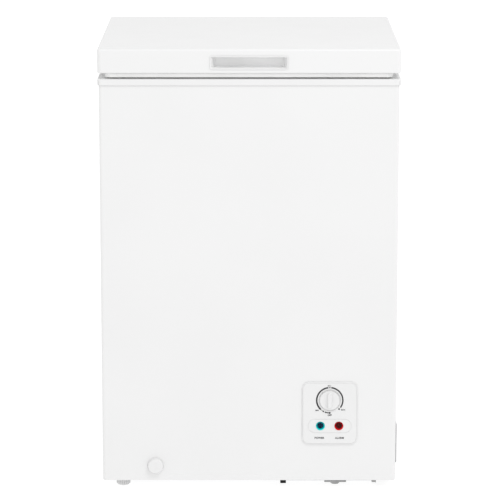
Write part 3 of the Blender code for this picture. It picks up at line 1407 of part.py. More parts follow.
def main():
    for obj in list(bpy.data.objects):
        bpy.data.objects.remove(obj)

    white_steel = material("white_steel", (0.86, 0.86, 0.86), 0.35)
    white_plastic = material("white_plastic", (0.84, 0.84, 0.84), 0.40)
    liner_white = material("liner_white", (0.80, 0.82, 0.83), 0.45)
    foam = material("foam", (0.80, 0.72, 0.50), 0.95)
    grip_grey = material("grip_grey", (0.62, 0.62, 0.62), 0.45)
    gasket_grey = material("gasket_grey", (0.74, 0.74, 0.74), 0.70)
    foot_grey = material("foot_grey", (0.45, 0.46, 0.47), 0.60)
    galvanised = material("galvanised", (0.50, 0.51, 0.52), 0.45, 0.9)
    steel = material("steel", (0.60, 0.60, 0.60), 0.35, 1.0)
    copper = material("copper", (0.70, 0.36, 0.22), 0.35, 1.0)
    black_steel = material("black_steel", (0.02, 0.02, 0.02), 0.40)
    black_plastic = material("black_plastic", (0.03, 0.03, 0.03), 0.50)
    rubber = material("rubber", (0.03, 0.03, 0.03), 0.80)
    teal_lens = material("teal_lens", (0.0, 0.30, 0.35), 0.15)
    red_lens = material("red_lens", (0.45, 0.01, 0.01), 0.15)
    wire_white = material("wire_white", (0.82, 0.82, 0.82), 0.40)

    build_outer_shell(white_steel)
    build_back_panel(white_steel)
    build_bottom_panel(galvanised)
    build_inner_liner(liner_white)
    build_insulation_foam(foam)
    build_top_collar(white_plastic)
    build_condenser_coil(galvanised)
    build_evaporator_coil(copper)

    build_base_plate(galvanised)
    build_compressor(black_steel)
    build_grommets(rubber)
    build_terminal_cover(black_plastic)
    build_pipes(copper)
    build_filter_drier(copper)
    build_capillary(copper)
    build_rear_cover(white_steel)
    build_cord_gland(black_plastic)
    build_side_vent(white_plastic)
    build_wiring(black_plastic)

    build_control_panel(white_plastic)
    build_control_box(white_plastic)
    build_thermostat(steel, white_plastic, white_plastic)
    build_sensor_line(copper)
    build_lamps(white_plastic, {"power": teal_lens, "alarm": red_lens})

    build_drain_tube(white_plastic)
    build_drain_escutcheon(white_plastic)
    build_drain_sleeve(white_plastic)
    build_drain_dial(white_plastic)
    build_liner_drain_plug(white_plastic)
    build_levelling_feet(foot_grey)
    build_right_feet(foot_grey)
    build_basket(wire_white)

    hinge_axis = joint_empty("lid_hinge_axis", (0.0, PIVOT_Y, PIVOT_Z))
    lid = [build_lid_shell(white_steel), build_lid_foam(foam), build_lid_liner(liner_white)]
    lid.append(build_lid_gasket(gasket_grey))
    lid += build_handle(white_plastic, grip_grey)
    for side, x in (("left", -HINGE_X), ("right", HINGE_X)):
        lid.append(build_hinge(side, x, galvanised, steel))
    bpy.context.view_layer.update()
    ride(lid, hinge_axis)


main()
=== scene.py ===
import math

import bmesh
import bpy
from mathutils import Matrix, Vector


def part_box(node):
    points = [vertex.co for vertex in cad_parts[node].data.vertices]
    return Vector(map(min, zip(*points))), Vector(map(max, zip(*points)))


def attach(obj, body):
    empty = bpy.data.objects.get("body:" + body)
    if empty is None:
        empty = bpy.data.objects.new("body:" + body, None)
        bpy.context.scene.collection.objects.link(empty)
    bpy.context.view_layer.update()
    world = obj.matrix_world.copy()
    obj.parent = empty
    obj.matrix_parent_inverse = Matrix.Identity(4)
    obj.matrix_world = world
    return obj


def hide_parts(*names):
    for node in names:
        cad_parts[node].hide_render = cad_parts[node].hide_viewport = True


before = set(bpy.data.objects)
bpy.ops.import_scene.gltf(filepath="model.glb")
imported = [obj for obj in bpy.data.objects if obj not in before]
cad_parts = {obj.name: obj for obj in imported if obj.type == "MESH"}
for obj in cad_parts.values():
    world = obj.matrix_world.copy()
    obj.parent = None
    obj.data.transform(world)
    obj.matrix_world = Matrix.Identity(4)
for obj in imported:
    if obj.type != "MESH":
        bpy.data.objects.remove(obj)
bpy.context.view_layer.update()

bl_info = {
    "name": "Chest freezer",
    "version": (1, 0, 0),
    "blender": (4, 5, 0),
    "location": "3D View > Sidebar > Freezer",
    "description": "Dresses the frame of a chest freezer, piece by piece",
    "category": "Object",
}

CLOSE = 0.0003                        # clearance between fitted pieces
SHEET = 0.001                         # steel sheet
REACH = 0.01                          # how far a cutter stands out of what it cuts
MOUTH_FLANGE = 0.012                  # rim of the liner under the collar
MOUTH_CORNER = 0.025                  # corner radius of the cavity
SMOOTH_ANGLE = math.radians(32)       # edges sharper than this stay crisp
TURNED_ANGLE = math.radians(40)
SOFT_ANGLE = math.radians(50)
WIRE_ANGLE = math.radians(60)


# Places in the frame

def span(node):
    """A node's box as x0, x1, y0, y1, z0, z1."""
    low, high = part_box(node)
    return low.x, high.x, low.y, high.y, low.z, high.z


def middle(node):
    low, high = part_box(node)
    return (low + high) / 2


# Node trees

def put(tree, kind, sockets=None, **settings):
    """Adds a node; a socket takes a value, another node's output, or a node for its first output."""
    node = tree.nodes.new(kind)
    for key, value in settings.items():
        setattr(node, key, value)
    for key, value in (sockets or {}).items():
        if isinstance(value, bpy.types.Node):
            value = value.outputs[0]
        if isinstance(value, bpy.types.NodeSocket):
            tree.links.new(value, node.inputs[key])
        else:
            node.inputs[key].default_value = value
    return node


def ramp(tree, factor, stops):
    """A colour ramp; stops are (position, colour)."""
    node = put(tree, "ShaderNodeValToRGB", {"Fac": factor})
    elements = node.color_ramp.elements
    while len(elements) < len(stops):
        elements.new(0.5)
    for element, (position, colour) in zip(elements, stops):
        element.position = position
        element.color = (*colour, 1.0)
    return node.outputs["Color"]


def spread(tree, factor, low, high, start=0.3, end=0.7):
    """Maps the middle of a pattern's values onto low to high."""
    node = put(tree, "ShaderNodeMapRange", {
        "Value": factor, "From Min": start, "From Max": end, "To Min": low, "To Max": high})
    return node.outputs["Result"]


# Finishes

def start_look(name, **values):
    """A new material: the material, its tree, its shader and object coordinates."""
    made = bpy.data.materials.new(name)
    made.use_nodes = True
    tree = made.node_tree
    shader = tree.nodes["Principled BSDF"]
    for key, value in values.items():
        shader.inputs[key.replace("_", " ")].default_value = value
    place = put(tree, "ShaderNodeTexCoord").outputs["Object"]
    return made, tree, shader, place


def cloud(tree, place, size, detail=3.0):
    node = put(tree, "ShaderNodeTexNoise", {"Vector": place, "Scale": 1.0 / size, "Detail": detail})
    return node.outputs["Fac"]


def relief(tree, shader, height, depth, strength=1.0):
    bump = put(tree, "ShaderNodeBump", {
        "Height": height, "Distance": depth, "Strength": strength})
    tree.links.new(bump.outputs["Normal"], shader.inputs["Normal"])


def moulded(name, light, shade, patch=0.15, rough=(0.35, 0.45), grain=0.0012, depth=0.00003, **values):
    """Paint or plastic: slow drift of colour and gloss, and a fine grain."""
    made, tree, shader, place = start_look(name, **values)
    slow = cloud(tree, place, patch)
    tree.links.new(ramp(tree, slow, [(0.35, shade), (0.65, light)]), shader.inputs["Base Color"])
    smear = cloud(tree, place, patch / 4)
    tree.links.new(spread(tree, smear, *rough), shader.inputs["Roughness"])
    relief(tree, shader, cloud(tree, place, grain, 2.0), depth)
    return made


def zinc(name, bright, dull, flake=0.006, rough=(0.28, 0.5)):
    """Galvanised sheet: flakes of slightly different grey and gloss."""
    made, tree, shader, place = start_look(name, Metallic=0.9)
    flakes = put(tree, "ShaderNodeTexVoronoi", {"Vector": place, "Scale": 1.0 / flake})
    value = put(tree, "ShaderNodeRGBToBW", {"Color": flakes.outputs["Color"]}).outputs["Val"]
    tree.links.new(ramp(tree, value, [(0.2, dull), (0.8, bright)]), shader.inputs["Base Color"])
    tree.links.new(spread(tree, value, *rough, 0.1, 0.9), shader.inputs["Roughness"])
    relief(tree, shader, flakes.outputs["Distance"], 0.00002)
    return made


def copper_look():
    """Drawn copper tube, browned in patches."""
    made, tree, shader, place = start_look("copper_tube", Metallic=1.0)
    patches = cloud(tree, place, 0.012, 5.0)
    stops = [(0.38, (0.28, 0.10, 0.05)), (0.5, (0.62, 0.27, 0.15)), (0.62, (0.78, 0.42, 0.28))]
    tree.links.new(ramp(tree, patches, stops), shader.inputs["Base Color"])
    tree.links.new(spread(tree, patches, 0.5, 0.25), shader.inputs["Roughness"])
    relief(tree, shader, cloud(tree, place, 0.0008), 0.00002)
    return made


def foam_look():
    """Cut polyurethane foam: pale cells with darker pores."""
    made, tree, shader, place = start_look("foam_cells", Roughness=0.95)
    cells = put(tree, "ShaderNodeTexVoronoi", {"Vector": place, "Scale": 450.0})
    distance = cells.outputs["Distance"]
    stops = [(0.0, (0.50, 0.36, 0.16)), (0.35, (0.80, 0.66, 0.38)), (0.9, (0.88, 0.78, 0.52))]
    tree.links.new(ramp(tree, distance, stops), shader.inputs["Base Color"])
    relief(tree, shader, distance, 0.0006)
    return made


def liner_look(light, shade):
    """Embossed liner sheet: a pebbled relief under a satin finish."""
    made, tree, shader, place = start_look("liner_emboss", Roughness=0.38)
    pebbles = put(tree, "ShaderNodeTexVoronoi", {"Vector": place, "Scale": 260.0}, feature="SMOOTH_F1")
    slow = cloud(tree, place, 0.12)
    tree.links.new(ramp(tree, slow, [(0.35, shade), (0.65, light)]), shader.inputs["Base Color"])
    relief(tree, shader, pebbles.outputs["Distance"], 0.00035)
    return made


def lens_look(name, rim, core, painted_glint, centre, radius):
    """A domed lamp lens over an unlit bulb: dark in the middle with painted glints, and painted light
    round the rim and below.
    """
    made, tree, shader, place = start_look(name, Roughness=0.22, Specular_IOR_Level=0.12)
    # lift raises the centre of the rim mask, so the painted rim light is widest at the bottom
    lift = 0.16
    shifted = put(tree, "ShaderNodeMapping", {
        "Vector": place, "Location": (-centre.x, -centre.y, -centre.z - lift * radius)})
    flat = put(tree, "ShaderNodeVectorMath", {0: shifted.outputs["Vector"], 1: (1.0, 0.0, 1.0)},
               operation="MULTIPLY")
    away = put(tree, "ShaderNodeVectorMath", {0: flat.outputs["Vector"]}, operation="LENGTH")
    share = spread(tree, away.outputs["Value"], 0.0, 1.0, 0.0, radius * (1 + lift))
    # Painted glints: lighter patches of colour in the dark middle, from the same noise as the bump
    facets = cloud(tree, place, radius / 3)
    core_with_painted_glints = ramp(tree, facets, [(0.52, core), (0.64, painted_glint)])
    # Painted light round the rim: the rim colour fades in from the edge towards the middle
    edge = ramp(tree, share, [(0.56, (0.0, 0.0, 0.0)), (0.86, (1.0, 1.0, 1.0))])
    mix = put(tree, "ShaderNodeMix", {"Factor": edge, "A": core_with_painted_glints, "B": (*rim, 1.0)}, data_type="RGBA")
    tree.links.new(mix.outputs["Result"], shader.inputs["Base Color"])
    relief(tree, shader, facets, 0.00004)
    return made


# Meshes

def link(name, mesh, look):
    made = bpy.data.objects.new(name, mesh)
    bpy.context.scene.collection.objects.link(made)
    made.data.materials.clear()
    made.data.materials.append(look)
    return made


def bake_down(piece):
    """Turns a piece with modifiers into a plain mesh."""
    graph = bpy.context.evaluated_depsgraph_get()
    mesh = bpy.data.meshes.new_from_object(piece.evaluated_get(graph), depsgraph=graph)
    piece.modifiers.clear()
    piece.data = mesh
    return piece


def polish(piece, soft=0.0, segments=2, angle=SMOOTH_ANGLE):
    """Rounds a piece's sharp edges a little and shades it smooth over its flat faces."""
    mesh = bmesh.new()
    mesh.from_mesh(piece.data)
    bmesh.ops.remove_doubles(mesh, verts=mesh.verts, dist=1e-6)
    bmesh.ops.dissolve_degenerate(mesh, edges=mesh.edges, dist=1e-6)
    mesh.to_mesh(piece.data)
    mesh.free()
    if soft:
        bevel = piece.modifiers.new("edges", "BEVEL")
        bevel.width = soft
        bevel.segments = segments
        bevel.limit_method = "ANGLE"
        bevel.angle_limit = angle
        bevel.use_clamp_overlap = True
        bake_down(piece)
    piece.data.shade_smooth()
    piece.data.set_sharp_from_angle(angle=angle)
    weights = piece.modifiers.new("weights", "WEIGHTED_NORMAL")
    weights.keep_sharp = True
    weights.weight = 100
    return bake_down(piece)


def rounded(x0, x1, y0, y1, radius, high_radius=None, steps=10):
    """A rectangle with round corners, anticlockwise: radius at y0, high_radius at y1."""
    high_radius = radius if high_radius is None else high_radius
    corners = [
        (x1 - radius, y0 + radius, radius, -90),
        (x1 - high_radius, y1 - high_radius, high_radius, 0),
        (x0 + high_radius, y1 - high_radius, high_radius, 90),
        (x0 + radius, y0 + radius, radius, 180),
    ]
    points = []
    for cx, cy, r, start in corners:
        for i in range(steps + 1):
            turn = math.radians(start + 90 * i / steps)
            points.append((cx + r * math.cos(turn), cy + r * math.sin(turn)))
    return points


def inward(x0, x1, y0, y1, radius, least=0.0, steps=10):
    """An outline that an inset draws in, round corners with it."""
    def outline(inset):
        return rounded(x0 + inset, x1 - inset, y0 + inset, y1 - inset, max(radius - inset, least),
                       steps=steps)
    return outline


def quarter(steps):
    """The angles of a quarter turn."""
    return [math.radians(90 * i / steps) for i in range(steps + 1)]


def circle(cx, cy, radius, steps=48):
    turns = [2 * math.pi * i / steps for i in range(steps)]
    return [(cx + radius * math.cos(t), cy + radius * math.sin(t)) for t in turns]


def at(axis, a, b, along):
    return {"X": (along, a, b), "Y": (a, along, b), "Z": (a, b, along)}[axis]


def skin(name, rings, look, closed=False):
    """A skin through rings of equally many points, capped unless the last meets the first."""
    mesh = bmesh.new()
    rows = [[mesh.verts.new(point) for point in ring] for ring in rings]
    pairs = list(zip(rows, rows[1:]))
    if closed:
        pairs.append((rows[-1], rows[0]))
    for low, high in pairs:
        for i in range(len(low)):
            j = (i + 1) % len(low)
            mesh.faces.new((low[i], low[j], high[j], high[i]))
    if not closed:
        mesh.faces.new(rows[0])
        mesh.faces.new(rows[-1])
    bmesh.ops.remove_doubles(mesh, verts=mesh.verts, dist=1e-7)
    bmesh.ops.recalc_face_normals(mesh, faces=mesh.faces)
    data = bpy.data.meshes.new(name)
    mesh.to_mesh(data)
    mesh.free()
    return link(name, data, look)


def stack(name, outline, profile, look, axis="Z", closed=False):
    """A skin through outline(inset) at each (inset, height) of a profile."""
    rings = [[at(axis, a, b, height) for a, b in outline(inset)] for inset, height in profile]
    return skin(name, rings, look, closed)


def slab(name, points, low, high, look, axis="Z"):
    rings = [[at(axis, a, b, height) for a, b in points] for height in (low, high)]
    return skin(name, rings, look)


def block(name, x0, x1, y0, y1, z0, z1, look):
    return slab(name, [(x0, y0), (x1, y0), (x1, y1), (x0, y1)], z0, z1, look)


def bore(spot, radius, low, high, look, axis="Y", steps=32):
    """A round cutter along Y or Z."""
    across = spot.z if axis == "Y" else spot.y
    return slab("bore", circle(spot.x, across, radius, steps), low, high, look, axis)


def lathe(name, profile, centre, look, axis="Z", steps=48):
    """A closed turned piece from (radius, height) points; ends at radius 0 close on the axis."""
    rings = []
    for radius, height in profile:
        points = circle(0.0, 0.0, max(radius, 1e-9), steps)
        rings.append([Vector(at(axis, a, b, height)) + Vector(centre) for a, b in points])
    hollow = profile[0][0] > 0
    return skin(name, rings, look, closed=hollow)


def carve(piece, cutters, operation="DIFFERENCE"):
    """Cuts pieces from a piece, or joins them to it, and removes them."""
    for other in cutters:
        modifier = piece.modifiers.new("carve", "BOOLEAN")
        modifier.operation = operation
        modifier.solver = "EXACT"
        modifier.object = other
        bake_down(piece)
        bpy.data.objects.remove(other)
    return piece


def weld_on(piece, others):
    return carve(piece, others, "UNION")


def gather(name, parts, look):
    """One mesh from several, left as separate closed shells."""
    mesh = bmesh.new()
    for part in parts:
        mesh.from_mesh(part.data)
        bpy.data.objects.remove(part)
    data = bpy.data.meshes.new(name)
    mesh.to_mesh(data)
    mesh.free()
    return link(name, data, look)


def settle(piece, body, *nodes):
    """Seats a finished piece on its body, standing for CAD nodes."""
    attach(piece, body)
    if nodes:
        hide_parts(*nodes)
    return piece


def refine(node, body, look, name, soft=0.0, angle=SMOOTH_ANGLE):
    """A smooth-shaded copy of a CAD node that stands for it."""
    piece = link(name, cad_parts[node].data.copy(), look)
    polish(piece, soft, angle=angle)
    return settle(piece, body, node)


# Geometry Nodes

def new_tree(name, inputs):
    """A geometry tree with a Geometry input, named inputs and one Geometry output."""
    tree = bpy.data.node_groups.new(name, "GeometryNodeTree")
    face = tree.interface
    face.new_socket("Geometry", in_out="INPUT", socket_type="NodeSocketGeometry")
    for label, kind, value in inputs:
        socket = face.new_socket(label, in_out="INPUT", socket_type=kind)
        socket.default_value = value
    face.new_socket("Geometry", in_out="OUTPUT", socket_type="NodeSocketGeometry")
    return tree, put(tree, "NodeGroupInput").outputs


def close_tree(tree, geometry, look):
    """Ends a tree in plain geometry with its finish."""
    real = put(tree, "GeometryNodeRealizeInstances", {"Geometry": geometry})
    painted = put(tree, "GeometryNodeSetMaterial", {
        "Geometry": real, "Material": look})
    put(tree, "NodeGroupOutput", {"Geometry": painted})


def grow(name, points, edges, tree, values, look, angle=SMOOTH_ANGLE):
    """Runs a tree on points and edges, and keeps the result as a plain mesh."""
    data = bpy.data.meshes.new(name)
    data.from_pydata(points, edges, [])
    piece = link(name, data, look)
    modifier = piece.modifiers.new(tree.name, "NODES")
    modifier.node_group = tree
    for item in tree.interface.items_tree:
        if item.in_out == "INPUT" and item.name in values:
            modifier[item.identifier] = values[item.name]
    bake_down(piece)
    piece.data.materials.clear()
    piece.data.materials.append(look)
    piece.data.shade_smooth()
    piece.data.set_sharp_from_angle(angle=angle)
    return piece


def screw_tree(look):
    """Dome heads with a crossed recess, one on each point, all facing one way."""
    tree, given = new_tree("screws", [
        ("Head Radius", "NodeSocketFloat", 0.004), ("Head Height", "NodeSocketFloat", 0.002),
        ("Facing", "NodeSocketVector", (0.0, 0.0, 0.0))])
    ball = put(tree, "GeometryNodeMeshUVSphere", {"Segments": 28, "Rings": 14, "Radius": 1.0})
    upper = put(tree, "GeometryNodeMeshCube", {"Size": (3.0, 3.0, 2.0)})
    raised = put(tree, "GeometryNodeTransform", {
        "Geometry": upper, "Translation": (0.0, 0.0, 1.0)})
    dome = put(tree, "GeometryNodeMeshBoolean", {
        "Mesh 2": ball}, operation="INTERSECT")
    tree.links.new(raised.outputs[0], dome.inputs["Mesh 2"])
    cutter = put(tree, "GeometryNodeMeshBoolean", {"Mesh 1": dome},
                 operation="DIFFERENCE")
    for size in ((1.1, 0.2, 1.0), (0.2, 1.1, 1.0)):
        bar = put(tree, "GeometryNodeMeshCube", {"Size": size})
        lifted = put(tree, "GeometryNodeTransform", {
            "Geometry": bar, "Translation": (0.0, 0.0, 0.95)})
        tree.links.new(lifted.outputs[0], cutter.inputs["Mesh 2"])
    scale = put(tree, "ShaderNodeCombineXYZ", {
        "X": given["Head Radius"], "Y": given["Head Radius"], "Z": given["Head Height"]})
    head = put(tree, "GeometryNodeTransform", {
        "Geometry": cutter, "Scale": scale})
    turned = put(tree, "GeometryNodeTransform", {
        "Geometry": head, "Rotation": given["Facing"]})
    placed = put(tree, "GeometryNodeInstanceOnPoints", {
        "Points": given["Geometry"], "Instance": turned})
    close_tree(tree, placed, look)
    return tree


FACING = {"+Y": (-math.pi / 2, 0.0, 0.0), "-Z": (math.pi, 0.0, 0.0), "+Z": (0.0, 0.0, 0.0)}


def fasten(name, body, points, facing, radius, height):
    """Plated screw heads on a body, one at each point."""
    plated = look("plated")
    heads = grow(name, points, [], screw_tree(plated), {
        "Head Radius": radius, "Head Height": height, "Facing": FACING[facing]}, plated)
    return settle(heads, body)


def wire_tree(look, sides):
    """Round wire along edges, with its corners bent."""
    tree, given = new_tree("wires", [
        ("Wire Radius", "NodeSocketFloat", 0.0015), ("Bend", "NodeSocketFloat", 0.006)])
    path = put(tree, "GeometryNodeMeshToCurve", {"Mesh": given["Geometry"]})
    bent = put(tree, "GeometryNodeFilletCurve", {
        "Curve": path, "Radius": given["Bend"], "Count": 6, "Limit Radius": True},
        mode="POLY")
    ring = put(tree, "GeometryNodeCurvePrimitiveCircle", {
        "Resolution": sides, "Radius": given["Wire Radius"]})
    wire = put(tree, "GeometryNodeCurveToMesh", {
        "Curve": bent, "Profile Curve": ring, "Fill Caps": True})
    close_tree(tree, wire, look)
    return tree


def wires(name, paths, look, radius, bend, sides=10, closed=()):
    """One mesh of wires along paths; the paths numbered in closed are loops."""
    points, edges = [], []
    for number, path in enumerate(paths):
        start = len(points)
        points += [tuple(point) for point in path]
        edges += [(i, i + 1) for i in range(start, len(points) - 1)]
        if number in closed:
            edges.append((len(points) - 1, start))
    return grow(name, points, edges, wire_tree(look, sides), {
        "Wire Radius": radius, "Bend": bend}, look, WIRE_ANGLE)


def rib_tree(look):
    """Upright ribs spaced evenly round a post."""
    tree, given = new_tree("ribs", [
        ("Count", "NodeSocketInt", 24), ("Post Radius", "NodeSocketFloat", 0.013),
        ("Rib Radius", "NodeSocketFloat", 0.001), ("Height", "NodeSocketFloat", 0.01)])
    ring = put(tree, "GeometryNodeMeshCircle", {
        "Vertices": given["Count"], "Radius": given["Post Radius"]})
    rib = put(tree, "GeometryNodeMeshCylinder", {
        "Vertices": 8, "Radius": given["Rib Radius"], "Depth": given["Height"]},
        fill_type="NGON")
    placed = put(tree, "GeometryNodeInstanceOnPoints", {
        "Points": ring, "Instance": rib})
    spots = put(tree, "GeometryNodeInstanceOnPoints", {
        "Points": given["Geometry"], "Instance": placed})
    close_tree(tree, spots, look)
    return tree


def slat_tree(look):
    """Rounded louvres in a row, each a half-round hood."""
    tree, given = new_tree("louvres", [
        ("Count", "NodeSocketInt", 8), ("Pitch", "NodeSocketVector", (0.0, 0.0, 0.02)),
        ("Length", "NodeSocketFloat", 0.1), ("Hood Radius", "NodeSocketFloat", 0.004),
        ("Flatten", "NodeSocketFloat", 0.6), ("Turn", "NodeSocketVector", (0.0, 0.0, 0.0))])
    hood = put(tree, "GeometryNodeMeshUVSphere", {"Segments": 16, "Rings": 12, "Radius": 1.0})
    room = put(tree, "GeometryNodeMeshCube", {"Size": (3.0, 3.0, 3.0)})
    front = put(tree, "GeometryNodeTransform", {
        "Geometry": room, "Translation": (0.0, 1.5, 0.0)})
    half = put(tree, "GeometryNodeMeshBoolean", {"Mesh 2": hood},
               operation="INTERSECT")
    tree.links.new(front.outputs[0], half.inputs["Mesh 2"])
    deep = put(tree, "ShaderNodeMath", {0: given["Hood Radius"], 1: given["Flatten"]},
               operation="MULTIPLY")
    wide = put(tree, "ShaderNodeMath", {0: given["Length"], 1: 0.5}, operation="MULTIPLY")
    scale = put(tree, "ShaderNodeCombineXYZ", {
        "X": wide, "Y": deep, "Z": given["Hood Radius"]})
    shaped = put(tree, "GeometryNodeTransform", {
        "Geometry": half, "Scale": scale})
    turned = put(tree, "GeometryNodeTransform", {
        "Geometry": shaped, "Rotation": given["Turn"]})
    row = put(tree, "GeometryNodeMeshLine", {
        "Count": given["Count"], "Offset": given["Pitch"]}, mode="OFFSET")
    louvres = put(tree, "GeometryNodeInstanceOnPoints", {
        "Points": row, "Instance": turned})
    spots = put(tree, "GeometryNodeInstanceOnPoints", {
        "Points": given["Geometry"], "Instance": louvres})
    close_tree(tree, spots, look)
    return tree


# Settings

class FreezerFinishes(bpy.types.PropertyGroup):
    """Colours of the finishes."""

    def colour(label, note, value):
        return bpy.props.FloatVectorProperty(
            name=label, description=note, subtype="COLOR", size=3, min=0.0, max=1.0, default=value)

    enamel: colour("Enamel", "Painted steel of the lid and the cabinet", (0.80, 0.80, 0.80))
    plastic: colour("Plastic", "White trim: collar, panel, knob and bezel", (0.785, 0.785, 0.785))
    # Grip: the recess plastic's grey, lifted lighter than the body as painted light, standing in for
    # light the deep recess lacks
    grip: colour("Grip", "Recess of the handle", (0.86, 0.86, 0.86))
    # Seal: the gasket's grey, lifted lighter than the body as painted light, standing in for light the
    # shaded gap under the lid lacks
    seal: colour("Seal", "Gasket round the lid", (0.90, 0.90, 0.895))
    liner: colour("Liner", "Inside of the cabinet and of the lid", (0.84, 0.86, 0.87))
    ink: colour("Ink", "Printed scale and legends", (0.012, 0.012, 0.014))
    # Power lens and Alarm lens hold painted light: the bright rim colour of each lens, where light
    # catches in the dome
    power: colour("Power lens", "Rim of the power lamp", (0.0, 0.74, 0.74))
    alarm: colour("Alarm lens", "Rim of the alarm lamp", (0.72, 0.0, 0.005))
    foot: colour("Feet", "Levelling feet", (0.72, 0.72, 0.72))


class FreezerSizes(bpy.types.PropertyGroup):
    """Sizes of the small details."""

    def length(label, note, value):
        return bpy.props.FloatProperty(
            name=label, description=note, unit="LENGTH", min=0.0, default=value, precision=5)

    wire_radius: length("Basket wire", "Radius of the basket's wires", 0.0016)
    wire_pitch: length("Wire pitch", "Spacing of the basket's wires", 0.026)
    print_height: length("Print", "Thickness of the printed marks", 0.00012)
    lid_soft: length("Lid edge", "Radius of the lid's top edges", 0.004)
    foot_ribs: bpy.props.IntProperty(
        name="Foot ribs", description="Grip ribs round a levelling foot", min=8, default=20)
    louvres: bpy.props.IntProperty(
        name="Louvres", description="Louvres in the rear cover", min=3, default=9)


class FreezerStudio(bpy.types.PropertyGroup):
    """Camera and light."""

    camera_away: bpy.props.FloatProperty(
        name="Distance", description="Camera's distance in front of the lid", unit="LENGTH",
        default=5.0)
    camera_up: bpy.props.FloatProperty(
        name="Height", description="Camera's height above the floor", unit="LENGTH", default=1.5016)
    camera_pitch: bpy.props.FloatProperty(
        name="Pitch", description="How far the camera looks down", subtype="ANGLE", default=0.2038)
    lens: bpy.props.FloatProperty(
        name="Lens", description="Focal length", subtype="DISTANCE_CAMERA", default=194.4)
    sky: bpy.props.FloatProperty(
        name="Fill", description="Strength of the even white light", default=0.90)
    lamp: bpy.props.FloatProperty(
        name="Key", description="Power of the large soft light", unit="POWER", default=49.0)


# The materials are made once, when the first piece asks for them

LOOKS = {}


def shaded(colour, share):
    return tuple(value * share for value in colour)


def make_looks():
    tones = bpy.context.scene.freezer_finishes
    enamel, plastic, liner = tones.enamel, tones.plastic, tones.liner
    LOOKS["enamel"] = moulded(
        "white_enamel", tuple(enamel), shaded(enamel, 0.985), 0.25, (0.30, 0.38), 0.0016, 0.000012,
        Coat_Weight=0.3, Coat_Roughness=0.2)
    LOOKS["plastic"] = moulded(
        "white_plastic", tuple(plastic), shaded(plastic, 0.985), 0.10, (0.38, 0.48), 0.0007, 0.00002)
    # Painted light: the grip's colour is lifted above the recess's real grey to offset the shade in it
    LOOKS["grip"] = moulded(
        "grip_plastic", tuple(tones.grip), shaded(tones.grip, 0.93), 0.05, (0.45, 0.58), 0.0006,
        0.00004)
    # Painted light: the seal's colour is lifted above the gasket's real grey to offset the shade in the
    # gap under the lid
    LOOKS["seal"] = moulded(
        "seal_rubber", tuple(tones.seal), shaded(tones.seal, 0.94), 0.06, (0.55, 0.7), 0.0009, 0.00003)
    LOOKS["liner"] = liner_look(tuple(liner), shaded(liner, 0.97))
    LOOKS["ink"] = moulded(
        "scale_ink", tuple(tones.ink), shaded(tones.ink, 1.6), 0.004, (0.4, 0.55), 0.0003, 0.00001)
    LOOKS["foot"] = moulded(
        "foot_plastic", tuple(tones.foot), shaded(tones.foot, 0.85), 0.02, (0.5, 0.65), 0.0008, 0.00004)
    LOOKS["pad"] = moulded(
        "pad_plastic", (0.38, 0.38, 0.38), (0.30, 0.30, 0.30), 0.015, (0.5, 0.65), 0.0008, 0.00004)
    LOOKS["vent"] = moulded(
        "vent_plastic", (0.34, 0.34, 0.35), (0.28, 0.28, 0.29), 0.02, (0.45, 0.6), 0.0008, 0.00004)
    LOOKS["black_plastic"] = moulded(
        "black_plastic", (0.03, 0.03, 0.032), (0.018, 0.018, 0.02), 0.03, (0.4, 0.55), 0.0007, 0.00004)
    LOOKS["black_enamel"] = moulded(
        "black_enamel", (0.022, 0.022, 0.024), (0.012, 0.012, 0.013), 0.05, (0.22, 0.4), 0.002, 0.00004,
        Coat_Weight=0.4)
    LOOKS["rubber"] = moulded(
        "black_rubber", (0.016, 0.016, 0.016), (0.008, 0.008, 0.008), 0.01, (0.75, 0.9), 0.0006,
        0.00006, Specular_IOR_Level=0.15)
    LOOKS["cable"] = moulded(
        "cable_jacket", (0.05, 0.05, 0.055), (0.03, 0.03, 0.03), 0.02, (0.45, 0.6), 0.0005, 0.00003)
    LOOKS["coated_wire"] = moulded(
        "coated_wire", (0.86, 0.87, 0.87), (0.80, 0.81, 0.81), 0.03, (0.3, 0.42), 0.0012, 0.00003,
        Coat_Weight=0.2)
    LOOKS["zinc"] = zinc("galvanised_sheet", (0.64, 0.65, 0.67), (0.53, 0.54, 0.56), 0.004)
    LOOKS["plated"] = zinc("plated_steel", (0.70, 0.70, 0.68), (0.60, 0.60, 0.58), 0.0015, (0.22, 0.34))
    LOOKS["spring"] = zinc("spring_steel", (0.34, 0.34, 0.36), (0.22, 0.22, 0.24), 0.001, (0.25, 0.4))
    LOOKS["copper"] = copper_look()
    LOOKS["foam"] = foam_look()


def look(name):
    if not LOOKS:
        make_looks()
    return LOOKS[name]


class PieceOperator:
    bl_options = {"REGISTER", "UNDO"}

    def execute(self, context):
        self.build(context)
        return {"FINISHED"}


# Cabinet

